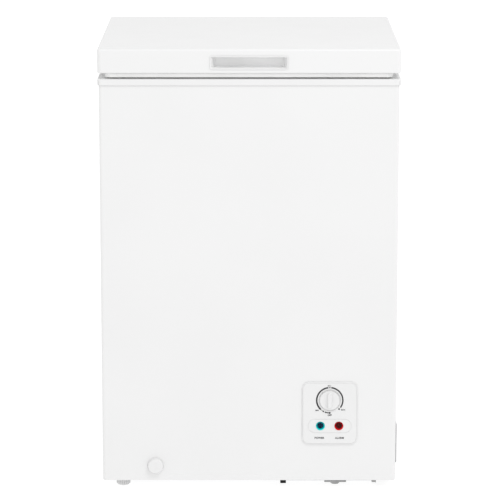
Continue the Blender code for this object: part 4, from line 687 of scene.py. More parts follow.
class FREEZER_OT_shell(PieceOperator, bpy.types.Operator):
    """Makes the painted wrap of the cabinet with its openings"""

    bl_idname = "freezer.shell"
    bl_label = "Outer shell"

    def build(self, context):
        x0, x1, y0, y1, z0, z1 = span("outer_shell")
        enamel = look("enamel")
        front_radius, back_radius, fold = 0.006, 0.0012, 0.012

        def outline(inset):
            return rounded(
                x0 + inset, x1 - inset, y0 + inset, y1 - inset, front_radius - inset,
                max(back_radius - inset, 0.0001))

        bottom = 0.0010
        profile = [(bottom * (1 - math.sin(t)), z0 + bottom * (1 - math.cos(t))) for t in quarter(6)]
        shell = stack("outer_shell_wrap", outline, profile + [(0.0, z1)], enamel)
        reach = 0.03
        inside = stack(
            "inside", outline, [(SHEET, z0 + SHEET), (SHEET, z1 + reach)], enamel)
        under = block(
            "under", x0 + fold, x1 - fold, y0 + fold, y1 - fold, z0 - reach, z0 + reach, enamel)
        behind = block(
            "behind", x0 + fold, x1 - fold, y1 - reach, y1 + reach, z0 + fold, z1 + reach, enamel)
        px0, px1, _, _, pz0, pz1 = span("control_panel")
        lap = 0.006
        window = block(
            "window", px0 + lap, px1 - lap, y0 - reach, y0 + reach, pz0 + lap, pz1 - lap, enamel)
        outlet = 0.0085
        hole = bore(middle("drain_dial"), outlet, y0 - reach, y0 + reach, enamel)
        _, _, vy0, vy1, vz0, vz1 = span("side_vent_grille")
        vent_lap = 0.0047
        vent = block(
            "vent", x1 - reach, x1 + reach, vy0 + vent_lap, vy1 - vent_lap, vz0 + vent_lap,
            vz1 - vent_lap, enamel)
        carve(shell, [inside, under, behind, window, hole, vent])
        settle(polish(shell), "cabinet", "outer_shell")


class FREEZER_OT_collar(PieceOperator, bpy.types.Operator):
    """Makes the moulded frame between the cabinet and the lid"""

    bl_idname = "freezer.collar"
    bl_label = "Top collar"

    def build(self, context):
        x0, x1, y0, y1, z0, z1 = span("top_collar")
        front_height, corner = 0.012, 0.008
        bottom = z1 - front_height
        plastic = look("plastic")
        sx0, sx1, sy0, _, _, sz1 = span("outer_shell")
        lx0, lx1, ly0, ly1, _, _ = span("inner_liner")

        edge = 0.0016
        arc = [(edge * (1 - math.sin(t)), edge * (1 - math.cos(t))) for t in quarter(5)]
        profile = [(inset, bottom + rise) for inset, rise in arc]
        profile += [(inset, z1 - rise) for inset, rise in reversed(arc)]
        collar = stack("top_collar_frame", inward(x0, x1, y0, y1, corner), profile, plastic)
        opening = inward(lx0 + MOUTH_FLANGE, lx1 - MOUTH_FLANGE, ly0 + MOUTH_FLANGE,
                         ly1 - MOUTH_FLANGE, MOUTH_CORNER)
        wall = 0.0015

        lip = stack("lip", opening, [(CLOSE, z0), (CLOSE, z1 - 0.002)], plastic)
        pocket = block(
            "pocket", sx0 - CLOSE, sx1 + CLOSE, sy0 - CLOSE, y1 + 0.05, bottom - 0.05, sz1 + CLOSE,
            plastic)
        through = stack("through", opening, [
            (CLOSE + wall, z0 - 0.05), (CLOSE + wall, z1 - 0.003), (CLOSE, z1 - 0.0008),
            (CLOSE - 0.0014, z1), (CLOSE - 0.0014, z1 + 0.05)], plastic)
        carve(collar, [pocket])
        weld_on(collar, [lip])
        carve(collar, [through])
        settle(polish(collar), "cabinet", "top_collar")


class FREEZER_OT_liner(PieceOperator, bpy.types.Operator):
    """Makes the stepped inner liner with its rails, round corners and embossed sheet"""

    bl_idname = "freezer.liner"
    bl_label = "Inner liner"

    def build(self, context):
        x0, x1, y0, y1, z0, z1 = span("inner_liner")
        sheet = look("liner")
        rail, wall = 0.008, 0.001
        left, right = x0 + MOUTH_FLANGE, x1 - MOUTH_FLANGE
        front, back = y0 + MOUTH_FLANGE + rail, y1 - MOUTH_FLANGE - rail
        floor = z0 + wall
        hook_height = 0.0033
        rail_z = span("basket")[5] - hook_height
        foam_over_bay, foam_beside_bay = 0.044, 0.049
        step_z = span("bottom_panel")[5] + foam_over_bay
        step_x = span("compressor_base_plate")[0] - foam_beside_bay

        def cavity(name, grow, top):
            def plan(x_high, more):
                return lambda inset: rounded(
                    left - grow, x_high + grow, front - grow - more, back + grow + more, MOUTH_CORNER)
            body = stack(name, plan(right, 0.0), [(0, step_z - grow), (0, rail_z + grow)], sheet)
            well = stack("well", plan(step_x, 0.0), [(0, floor - grow), (0, step_z + 0.02)], sheet)
            mouth = stack("mouth", plan(right, rail), [(0, rail_z - grow), (0, top)], sheet)
            return weld_on(body, [well, mouth])

        inside = cavity("inside", 0.0, z1 + 0.05)
        outside = cavity("inner_liner_tub", wall, z1)
        for tub, width in ((inside, 0.007), (outside, 0.008)):
            polish(tub, width, 5, WIRE_ANGLE)
        lip = stack(
            "lip", lambda inset: rounded(x0, x1, y0, y1, MOUTH_CORNER + MOUTH_FLANGE),
            [(0, z1 - wall), (0, z1)],
            sheet)
        outlet = 0.008
        hole = bore(middle("liner_drain_plug"), outlet, floor - 0.02, floor + 0.02, sheet, "Z")
        trim = slab("trim", rounded(x0 - 1, x1 + 1, y0 - 1, y1 + 1, 0.1), z1, z1 + 1, sheet)
        weld_on(outside, [lip])
        carve(outside, [trim, inside, hole])
        settle(polish(outside), "cabinet", "inner_liner")


class FREEZER_OT_panels(PieceOperator, bpy.types.Operator):
    """Makes the stamped back panel and dresses the sheets and foam behind it"""

    bl_idname = "freezer.panels"
    bl_label = "Back, bottom and foam"

    def build(self, context):
        x0, x1, y0, y1, z0, z1 = span("back_panel")
        enamel = look("enamel")
        panel = block("back_panel_sheet", x0, x1, y0, y1, z0, z1, enamel)
        rx0, rx1, _, _, rz0, rz1 = span("rear_cover")
        lap = 0.007
        opening = block(
            "opening", rx0 + lap, rx1 - lap, y0 - 0.02, y1 + 0.02, rz0 + lap, rz1 - lap, enamel)
        carve(panel, [opening])
        raised = 0.0009

        def rib(name, *box):
            return stack(name, inward(*box, 0.018), [
                (0.0, y1 - SHEET / 2), (0.0, y1), (0.0015, y1 + raised * 0.7), (0.003, y1 + raised)],
                enamel, axis="Y")

        margin, rib_height = 0.050, 0.075
        ribs = [rib(f"rib{i}", x0 + margin, x1 - margin, z, z + rib_height)
                for i, z in enumerate((0.290, 0.400, 0.510, 0.620))]
        ribs.append(rib("rib_low", x0 + margin, rx0 - 0.035, 0.075, 0.205))
        weld_on(panel, ribs)
        settle(polish(panel), "cabinet", "back_panel")
        rivets = [(x, y1, z) for x in (x0 + 0.008, x1 - 0.008) for z in (0.27, 0.42, 0.57, 0.70)]
        fasten("back_panel_screws", "cabinet", rivets, "+Y", 0.0035, 0.0012)
        refine("bottom_panel", "cabinet", look("zinc"), "bottom_panel_sheet", 0.0003)
        refine("insulation_foam", "cabinet", look("foam"), "insulation_foam_block")


# Lid

class FREEZER_OT_lid(PieceOperator, bpy.types.Operator):
    """Makes the pressed lid with its soft edges, its foam, its liner and its gasket"""

    bl_idname = "freezer.lid"
    bl_label = "Lid"

    def build(self, context):
        self.shell(context.scene.freezer_sizes.lid_soft)
        self.tray()
        self.gasket()

    def shell(self, soft):
        x0, x1, y0, y1, z0, z1 = span("lid_shell")
        enamel = look("enamel")
        sheet, fold, low = 0.0012, 0.008, 0.0015
        corner, least = 0.008, 0.0004
        arc = quarter(10)
        outer = [(low * (1 - math.sin(t)), z0 + low * (1 - math.cos(t))) for t in arc[::2]]
        outer += [(soft * (1 - math.cos(t)), z1 - soft * (1 - math.sin(t))) for t in arc]
        outer.append((soft + 0.006, z1))
        inner_soft = soft - sheet
        inner = [(sheet + inner_soft * (1 - math.cos(t)), z1 - sheet - inner_soft * (1 - math.sin(t)))
                 for t in reversed(arc[::2])]
        inner += [(sheet, z0 + sheet), (sheet + fold, z0 + sheet), (sheet + fold, z0)]
        shell = stack("lid_shell_press", inward(x0, x1, y0, y1, corner, least), inner + outer, enamel)
        cx0, cx1, _, cy1, cz0, cz1 = span("handle_cup")
        grip = block(
            "grip", cx0 - CLOSE, cx1 + CLOSE, y0 - 0.02, cy1, cz0 - CLOSE, cz1 + CLOSE, enamel)
        carve(shell, [grip])
        settle(polish(shell), "lid", "lid_shell")

    def tray(self):
        z0 = span("lid_liner")[4]
        sheet = look("liner")
        lx0, lx1, ly0, ly1, _, _ = span("inner_liner")
        plug_in, corner, soft = 0.024, 0.026, 0.004
        border, slope, sunk = 0.030, 0.006, 0.0045
        plug = inward(lx0 + plug_in, lx1 - plug_in, ly0 + plug_in, ly1 - plug_in, corner, 0.004)
        fx0, fx1, fy0, fy1, under, _ = span("lid_shell")
        fold = 0.0092 + CLOSE
        ring = rounded(fx0 + fold, fx1 - fold, fy0 + fold, fy1 - fold, 0.003)
        arc = quarter(6)
        profile = [(-soft, under)]
        profile += [(-soft * math.cos(t), under - 0.4 * soft * math.sin(t)) for t in arc[1:-1]]
        profile += [(soft * (1 - math.cos(t)), z0 + soft * (1 - math.sin(t))) for t in arc]
        profile.append((border, z0))
        profile += [(border + slope * (1 - math.cos(t)), z0 + sunk * math.sin(t)) for t in arc[1:]]
        profile.append((0.044, z0 + sunk))
        rings = [[(a, b, z) for a, b in ring] for z in (under + 0.006, under)]
        rings += [[(a, b, z) for a, b in plug(inset)] for inset, z in profile]
        tray = skin("lid_liner_tray", rings, sheet)
        settle(polish(tray), "lid", "lid_liner")
        foam = link("lid_foam_block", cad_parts["lid_foam"].data.copy(), look("foam"))
        room = slab("room", plug(0.0225), z0 - sunk, z0 + sunk + SHEET, look("foam"))
        outside, inside, top = -0.02, 0.0020, under + 0.0055
        corners = stack("corners", plug, [
            (outside, z0 - sunk), (outside, top), (inside, top), (inside, z0 - sunk)],
            look("foam"), closed=True)
        carve(foam, [room, corners])
        settle(polish(foam), "lid", "lid_foam")

    def gasket(self):
        x0, x1, y0, y1, z0, z1 = span("lid_gasket")
        under = span("lid_shell")[4]

        def outline(inset):
            side = max(inset, 0.0)
            return rounded(x0 + side, x1 - side, y0 + inset, y1 - inset, max(0.010 - inset / 4, 0.002))

        tall = under - CLOSE - z0
        bellows = [
            (0.0030, 0.0), (0.0016, 0.03), (0.0014, 0.10), (0.0024, 0.16), (0.0024, 0.20),
            (-0.0040, 0.23), (-0.0074, 0.26), (-0.0082, 0.32), (-0.0084, 0.60), (-0.0082, 0.90),
            (-0.0070, 1.0), (0.0150, 1.0), (0.0172, 0.92), (0.0180, 0.75), (0.0172, 0.55),
            (0.0140, 0.46), (0.0140, 0.40), (0.0168, 0.33), (0.0174, 0.20), (0.0166, 0.05),
            (0.0150, 0.0)]
        # The seal look is lighter than the gasket's real grey: painted light in the shaded gap
        band = stack(
            "lid_gasket_bellows", outline, [(inset, z0 + share * tall) for inset, share in bellows],
            look("seal"), closed=True)
        dart = stack("dart", outline, [
            (0.0074, under - 0.001), (0.0076, z1 - 0.0012), (0.0088, z1), (0.0092, z1),
            (0.0104, z1 - 0.0012), (0.0106, under - 0.001)], look("seal"), closed=True)
        weld_on(band, [dart])
        settle(polish(band, angle=SOFT_ANGLE), "lid", "lid_gasket")


class FREEZER_OT_handle(PieceOperator, bpy.types.Operator):
    """Makes the recessed grip and its raised rim"""

    bl_idname = "freezer.handle"
    bl_label = "Handle"

    def build(self, context):
        x0, x1, y0, y1, z0, z1 = span("handle_bezel")
        half = (x1 - x0) / 2
        crown = 0.0005

        def bowed(points):
            return [(a, b + crown * (1 - (a / half) ** 2) * (b > (z0 + z1) / 2)) for a, b in points]

        def outline(inset):
            return bowed(rounded(x0 + inset, x1 - inset, z0 + inset, z1 - inset,
                                 max(0.004 - inset * 0.75, 0.001), steps=8))

        thick = y1 - y0
        section = [
            (0.0001, thick), (0.0, thick * 0.75), (0.0001, thick * 0.6), (0.0005, thick * 0.85),
            (0.0009, thick * 0.85), (0.0010, 0.0001), (0.0012, 0.0), (0.0022, 0.0),
            (0.0027, 0.0003), (0.0030, 0.0009), (0.0030, thick)]
        rim = stack(
            "handle_bezel_rim", outline, [(inset, y0 + deep) for inset, deep in section],
            look("plastic"), axis="Y", closed=True)
        settle(polish(rim, angle=SOFT_ANGLE), "lid", "handle_bezel")
        self.cup()

    def cup(self):
        x0, x1, y0, y1, z0, z1 = span("handle_cup")
        wall = 0.0015
        mx0, mx1, mz0, mz1 = x0 + wall, x1 - wall, z0 + wall, z1 - wall

        def outer(inset):
            return rounded(x0 + inset, x1 - inset, z0 + inset, z1 - inset, 0.0012, steps=8)

        def inner(along, across, radius):
            return rounded(mx0 + along, mx1 - along, mz0 + across, mz1 - across, radius, steps=8)

        floor = y1 - wall
        rings = [[(a, y1, b) for a, b in outer(0.0)], [(a, y0, b) for a, b in outer(0.0)]]
        deep = floor - y0
        for along, share, across, radius in (
                (0.0, 0.0, 0.0, 0.0015), (0.0012, 0.12, 0.0002, 0.0018), (0.0050, 0.80, 0.0010, 0.002),
                (0.0058, 0.93, 0.0016, 0.0024), (0.0074, 0.985, 0.0030, 0.003),
                (0.0094, 1.0, 0.0046, 0.003)):
            rings.append([(a, y0 + deep * share, b) for a, b in inner(along, across, radius)])
        # The grip look is lighter than the real grey of the recess: painted light against its shade
        cup = skin("handle_cup_recess", rings, look("grip"))
        settle(polish(cup), "lid", "handle_cup")


class FREEZER_OT_hinges(PieceOperator, bpy.types.Operator):
    """Makes the sprung hinges with their pins, coils and screws"""

    bl_idname = "freezer.hinges"
    bl_label = "Hinges"

    def build(self, context):
        steel = look("zinc")
        for side in ("left", "right"):
            bracket, arm = f"hinge_bracket_{side}", f"hinge_arm_{side}"
            refine(bracket, "cabinet", steel, f"{bracket}_plate", 0.0006)
            refine(arm, "lid", steel, f"{arm}_plate", 0.0006)
            x0, x1, _, _, _, _ = span(f"hinge_pin_{side}")
            pin_at = middle(f"hinge_pin_{side}")
            rivet, shank, head = 0.0045, 0.0025, 0.0015
            pin = lathe(f"hinge_pin_{side}_riveted", [
                (0.0, x0), (0.0030, x0), (0.0044, x0 + 0.0006), (rivet, x0 + head),
                (shank, x0 + head), (shank, x1 - head), (rivet, x1 - head),
                (0.0044, x1 - 0.0006), (0.0030, x1), (0.0, x1)],
                (0.0, pin_at.y, pin_at.z), look("plated"), "X", 24)
            settle(polish(pin, angle=TURNED_ANGLE), "cabinet", f"hinge_pin_{side}")
            self.spring(side, pin_at)
            self.fixings(bracket, arm)

    def spring(self, side, pin_at):
        x0, x1, _, _, z0, _ = span(f"hinge_spring_{side}")
        wire, coil, turns, steps = 0.0006, 0.0048, 11, 20
        start, end = x0 + wire, x1 - wire
        count = turns * steps
        path = [(start, pin_at.y - coil, z0 + wire)]
        for i in range(count + 1):
            turn = 2 * math.pi * (i / steps + 0.5)
            path.append((start + (end - start) * i / count, pin_at.y + coil * math.cos(turn),
                         pin_at.z + coil * math.sin(turn)))
        spring = wires(f"hinge_spring_{side}_coil", [path], look("spring"), wire, 0.0, 8)
        settle(spring, "cabinet", f"hinge_spring_{side}")

    def fixings(self, bracket, arm):
        x0, x1, _, _, z0, _ = span(bracket)
        centre = (x0 + x1) / 2
        gauge, head, tall = 0.002, 0.0042, 0.0022
        plate = span("back_panel")[3] + CLOSE + gauge
        spots = [(centre + dx, plate, z0 + dz)
                 for dx, dz in ((-0.016, 0.010), (0.016, 0.010), (0.0, 0.028))]
        fasten(f"{bracket}_screws", "cabinet", spots, "+Y", head, tall)
        plate, top = span("outer_shell")[3] + CLOSE + gauge, span(arm)[5]
        spots = [(centre + dx, plate, top - 0.008) for dx in (-0.012, 0.012)]
        fasten(f"{arm}_screws", "lid", spots, "+Y", head, tall)


# Front fittings

class FREEZER_OT_control_panel(PieceOperator, bpy.types.Operator):
    """Makes the control panel with its printed scale, legends and lamps"""

    bl_idname = "freezer.control_panel"
    bl_label = "Control panel"

    def build(self, context):
        x0, x1, y0, y1, z0, z1 = span("control_panel")
        plastic = look("plastic")
        knob, power, alarm = middle("thermostat_knob"), middle("power_lamp"), middle("alarm_lamp")

        outline = inward(x0, x1, z0, z1, 0.0134)
        edge = 0.0013
        profile = [(0.0, y1)]
        profile += [(edge * (1 - math.cos(t)), y0 + edge * (1 - math.sin(t))) for t in quarter(6)]
        profile.append((edge + 0.004, y0))
        panel = stack("control_panel_plate", outline, profile, plastic, axis="Y")
        bush, lamp_hole = 0.0053, 0.0087
        cutters = [bore(knob, bush, y0 - REACH, y1 + REACH, plastic)]
        cutters += [bore(lamp, lamp_hole, y0 - REACH, y1 + REACH, plastic, steps=48)
                    for lamp in (power, alarm)]
        half_w, half_t, groove, deep = 0.0417, 0.0137, 0.0005, 0.0007
        cx = (power.x + alarm.x) / 2
        stadium = inward(cx - half_w, cx + half_w, power.z - half_t, power.z + half_t,
                         half_t - 1e-5, steps=16)

        def channel(name, plan, inset, width, depth):
            near, bed, far = y0 - REACH, y0 + depth, inset + width
            return stack(name, plan, [(inset, near), (inset, bed), (far, bed), (far, near)],
                         plastic, axis="Y", closed=True)

        knob_radius = span("thermostat_knob")[1] - knob.x
        cutters.append(channel("lamp_outline", stadium, 0.0, groove, deep))
        cutters.append(channel("panel_outline", outline, edge + 0.0002, 0.0005, 0.0006))
        cutters.append(lathe("well", [
            (knob_radius + 0.0004, y0 - REACH), (knob_radius + 0.0004, y0 + 0.0008),
            (knob_radius - 0.0030, y0 + 0.0008), (knob_radius - 0.0030, y0 - REACH)],
            (knob.x, 0.0, knob.z), plastic, "Y", 72))
        carve(panel, cutters)
        settle(polish(panel), "cabinet", "control_panel")
        self.scale(context, knob, y0)
        self.legends(context, knob, y0)
        self.lamps(context)
        refine("control_box", "cabinet", look("plastic"), "control_box_case", 0.0004)
        refine("thermostat_body", "cabinet", look("plated"), "thermostat_body_case", 0.0004)
        refine("thermostat_sensor_line", "cabinet", look("copper"), "thermostat_sensor_capillary")

    def scale(self, context, knob, face):
        """The printed arc with its dots: angles are clockwise from the top, seen from the front."""
        height = context.scene.freezer_sizes.print_height
        ink = look("ink")
        radius = 0.025
        parts = []

        def spot(angle, r):
            turn = math.radians(angle)
            return knob.x + r * math.sin(turn), knob.z + r * math.cos(turn)

        def stroke(start, end, width_start, width_end):
            steps = max(2, int(abs(end - start) / 3))
            outer, inner = [], []
            for i in range(steps + 1):
                share = i / steps
                width = width_start + (width_end - width_start) * share
                angle = start + (end - start) * share
                outer.append(spot(angle, radius + width / 2))
                inner.append(spot(angle, radius - width / 2))
            parts.append(slab("stroke", outer + inner[::-1], face - height, face + height, ink, "Y"))

        for start, end, width_start, width_end in (
                (-134, -6.5, 0.0030, 0.0029), (6.5, 125, 0.0029, 0.0026),
                (-149, -135, 0.0009, 0.0009), (-177, -164, 0.0016, 0.0020)):
            stroke(start, end, width_start, width_end)
        for angle, size in ((0, 0.0013), (-134, 0.0014), (134, 0.0017), (-151, 0.0014), (-161, 0.0014),
                            (-180, 0.0019)):
            cx, cz = spot(angle, radius)
            parts.append(slab("dot", circle(cx, cz, size, 20), face - height, face + height, ink, "Y"))
        settle(gather("thermostat_scale_print", parts, ink), "cabinet")

    def legends(self, context, knob, face):
        height = context.scene.freezer_sizes.print_height
        ink = look("ink")
        small, large, under_lamps = 0.0026, 0.0037, 0.1000
        cap_share = 0.70
        words = [
            ("MID", knob.x - 0.0008, knob.z + 0.0284, small, 0.00002),
            ("MIN", knob.x - 0.0242, knob.z - 0.0200, small, 0.00010),
            ("MAX", knob.x + 0.0256, knob.z - 0.0190, small, 0.00010),
            ("OFF", knob.x, knob.z - 0.0297, 0.0030, 0.00020),
            ("POWER", knob.x - 0.0197, under_lamps, large, 0.00016),
            ("ALARM", knob.x + 0.0190, under_lamps, large, 0.00016)]
        parts = []
        for word, x, z, cap, weight in words:
            curve = bpy.data.curves.new(word, "FONT")
            curve.body = word
            curve.align_x = "CENTER"
            curve.align_y = "CENTER"
            curve.size = cap / cap_share
            curve.extrude = height
            curve.offset = weight
            text = bpy.data.objects.new(word, curve)
            bpy.context.scene.collection.objects.link(text)
            graph = bpy.context.evaluated_depsgraph_get()
            mesh = bpy.data.meshes.new_from_object(text.evaluated_get(graph), depsgraph=graph)
            bpy.data.objects.remove(text)
            place = Matrix.Translation((x, face, z)) @ Matrix.Rotation(math.pi / 2, 4, "X")
            mesh.transform(place)
            parts.append(link(word, mesh, ink))
        settle(gather("panel_legend_print", parts, ink), "cabinet")

    def lamps(self, context):
        tones = context.scene.freezer_finishes
        refine("lamp_housing", "cabinet", look("plastic"), "lamp_housing_block", 0.0004)
        radius, crown = 0.0084, 0.00192
        # Each lamp: its painted rim light, its dark core and its painted glint colour
        for node, painted_rim_light, core, painted_glint in (
                ("power_lamp", tones.power, (0.0, 0.006, 0.026), (0.0, 0.09, 0.14)),
                ("alarm_lamp", tones.alarm, (0.036, 0.0, 0.0), (0.13, 0.004, 0.004))):
            _, _, y0, y1, _, _ = span(node)
            spot = middle(node)
            lens = lens_look(f"{node}_lens", tuple(painted_rim_light), core, painted_glint, spot, radius)
            dome = [(radius * math.sin(t), y0 + crown * (1 - math.cos(t))) for t in quarter(12)]
            profile = dome + [(radius, y1), (0.0, y1)]
            made = lathe(f"{node}_dome", profile, (spot.x, 0.0, spot.z), lens, "Y")
            settle(polish(made, angle=SOFT_ANGLE), "cabinet", node)


class FREEZER_OT_thermostat(PieceOperator, bpy.types.Operator):
    """Makes the thermostat's knob and shaft"""

    bl_idname = "freezer.thermostat"
    bl_label = "Thermostat knob"

    def build(self, context):
        x0, x1, y0, y1, _, _ = span("thermostat_knob")
        spot = middle("thermostat_knob")
        plastic = look("plastic")
        radius = (x1 - x0) / 2
        disc, groove = 0.0022, 0.0018
        face = y1 - disc
        knob = lathe("thermostat_knob_cap", [
            (0.0, y1), (radius - 0.0006, y1), (radius - 0.0002, y1 - 0.0003),
            (radius, y1 - 0.0007), (radius - 0.0001, face + 0.0003), (radius - 0.0004, face),
            (radius - 0.0006, face), (radius - 0.0006, face + groove), (radius - 0.0016, face + groove),
            (radius - 0.0016, face), (radius - 0.004, face), (0.0, face)],
            (spot.x, 0.0, spot.z), plastic, "Y", 96)
        half, tip, tall = 0.0047, 0.0038, 0.0152

        def ridge(inset):
            return rounded(
                spot.x - half + inset, spot.x + half - inset, spot.z - tall + inset,
                spot.z + tall - inset, tip - inset * 0.6)

        grip = stack("grip", ridge, [
            (-0.0008, face + 0.001), (-0.0008, face), (-0.0002, face - 0.0006), (0.0002, face - 0.0016),
            (0.0009, y0 + 0.0010), (0.0013, y0 + 0.0004), (0.0020, y0)], plastic, axis="Y")
        weld_on(knob, [grip])
        line = block(
            "line", spot.x - 0.0005, spot.x + 0.0005, y0 - REACH, y0 + 0.0004, spot.z + 0.005,
            spot.z + tall - 0.0035, plastic)
        carve(knob, [line])
        settle(polish(knob), "thermostat_dial", "thermostat_knob")
        refine("thermostat_shaft", "thermostat_dial", look("plastic"), "thermostat_shaft_rod", 0.0003)


class FREEZER_OT_drain(PieceOperator, bpy.types.Operator):
    """Makes the front drain outlet, its cap, its tube and the plug inside"""

    bl_idname = "freezer.drain"
    bl_label = "Drain"

    def build(self, context):
        plastic = look("plastic")
        x0, x1, y0, y1, _, _ = span("drain_escutcheon")
        spot = middle("drain_escutcheon")
        outer = (x1 - x0) / 2
        ring = lathe("drain_escutcheon_ring", [
            (0.0077, y1), (outer, y1), (outer, y0 + 0.0005), (outer - 0.0003, y0 + 0.0001),
            (outer - 0.0008, y0), (0.0077, y0)], (spot.x, 0.0, spot.z), plastic, "Y", 72)
        settle(polish(ring), "cabinet", "drain_escutcheon")
        _, _, face, tail, _, _ = span("drain_dial")
        back = y0 - CLOSE
        step = face + 0.0018
        dial = lathe("drain_dial_cap", [
            (0.0, face), (0.0122, face), (0.0130, face + 0.0002), (0.0136, face + 0.0008),
            (0.0140, step), (0.0149, back - 0.0016), (0.0152, back - 0.0008), (0.0152, back),
            (0.0052, back), (0.0052, tail), (0.0, tail)],
            (spot.x, 0.0, spot.z), plastic, "Y", 72)
        slot = slab("slot", rounded(
            spot.x - 0.0014, spot.x + 0.0014, spot.z - 0.008, spot.z + 0.008, 0.0013, steps=6),
            face - REACH, face + 0.0003, plastic, "Y")
        carve(dial, [slot])
        settle(polish(dial), "drain_cap", "drain_dial")
        refine("drain_sleeve", "drain_outlet", plastic, "drain_sleeve_tube", 0.0002)
        refine("drain_tube", "cabinet", plastic, "drain_tube_elbow")
        drain = middle("liner_drain_plug")
        _, _, _, _, low, top = span("liner_drain_plug")
        floor = span("inner_liner")[4] + 0.001
        plug = lathe("liner_drain_plug_cap", [
            (0.0, low), (0.0052, low), (0.0056, low + 0.0005), (0.0070, floor - 0.004),
            (0.0070, floor + CLOSE), (0.0126, floor + CLOSE), (0.0130, floor + 0.0008),
            (0.0129, floor + 0.0020), (0.0120, floor + 0.0029), (0.0060, floor + 0.0036),
            (0.0042, floor + 0.0044), (0.0038, floor + 0.0070), (0.0041, floor + 0.0095),
            (0.0055, floor + 0.0104), (0.0060, floor + 0.0112), (0.0056, top - 0.0002), (0.0048, top),
            (0.0, top)], (drain.x, drain.y, 0.0), look("seal"), "Z", 48)
        settle(polish(plug, angle=SOFT_ANGLE), "drain_plug", "liner_drain_plug")


class FREEZER_OT_feet(PieceOperator, bpy.types.Operator):
    """Makes the two ribbed levelling feet and the two domed feet"""

    bl_idname = "freezer.feet"
    bl_label = "Feet"

    def build(self, context):
        grey = look("foot")
        ribs = context.scene.freezer_sizes.foot_ribs
        rib = 0.0018
        crest, root, pitch, turns = 0.0040, 0.0034, 0.00125, 21
        for side in ("front", "rear"):
            node = f"foot_{side}_left"
            x0, x1, _, _, _, z1 = span(node)
            spot = middle(node)
            radius = (x1 - x0) / 2
            top = span("outer_shell")[4] - CLOSE
            core = radius - rib
            rib_low, rib_high = 0.0030, top - 0.0022
            profile = [
                (0.0, 0.0), (radius - 0.0042, 0.0), (radius - 0.0030, 0.0005), (radius - 0.0021, 0.0016),
                (core, rib_low), (core, rib_high), (radius, top - 0.0018), (radius, top - 0.0003),
                (radius - 0.0003, top), (crest, top)]
            for i in range(turns):
                z = top + 0.001 + pitch * i
                profile += [(root, z), (crest, z + pitch / 2)]
            profile += [(0.0032, z1), (0.0, z1)]
            post = lathe(f"{node}_screw", profile, (spot.x, spot.y, 0.0), grey, "Z", 40)
            polish(post, angle=TURNED_ANGLE)
            body = f"{side}_levelling_foot"
            settle(post, body, node)
            foot_at = (spot.x, spot.y, (rib_low + rib_high) / 2)
            knurl = grow(f"{node}_ribs", [foot_at], [], rib_tree(grey), {
                "Count": ribs, "Post Radius": core, "Rib Radius": rib,
                "Height": rib_high - rib_low}, grey, WIRE_ANGLE)
            settle(knurl, body)
        for side in ("front", "rear"):
            node = f"foot_{side}_right"
            x0, x1, _, _, _, z1 = span(node)
            spot = middle(node)
            flange = (x1 - x0) / 2
            low = z1 - 0.004 - CLOSE - 0.0012 - CLOSE
            foot = lathe(f"{node}_pad", [
                (0.0, 0.0), (0.0050, 0.0), (0.0072, 0.0006), (0.0086, 0.0020), (0.0100, 0.0050),
                (0.0118, low - 0.0038), (0.0134, low - 0.0028), (0.0134, low - 0.0010),
                (0.0040, low - 0.0010), (0.0040, z1 - 0.0006),
                (0.0034, z1), (0.0, z1)], (spot.x, spot.y, 0.0), look("pad"), "Z", 56)
            lean = -1 if side == "front" else 1
            edge = sorted((spot.y + lean * (flange + 0.0050), spot.y - lean * flange))
            weld_on(foot, [slab(
                "flange", rounded(x0, x1, *edge, 0.003), low - 0.0028, low, look("pad"))])
            settle(polish(foot, angle=SOFT_ANGLE), "cabinet", node)


# Inside

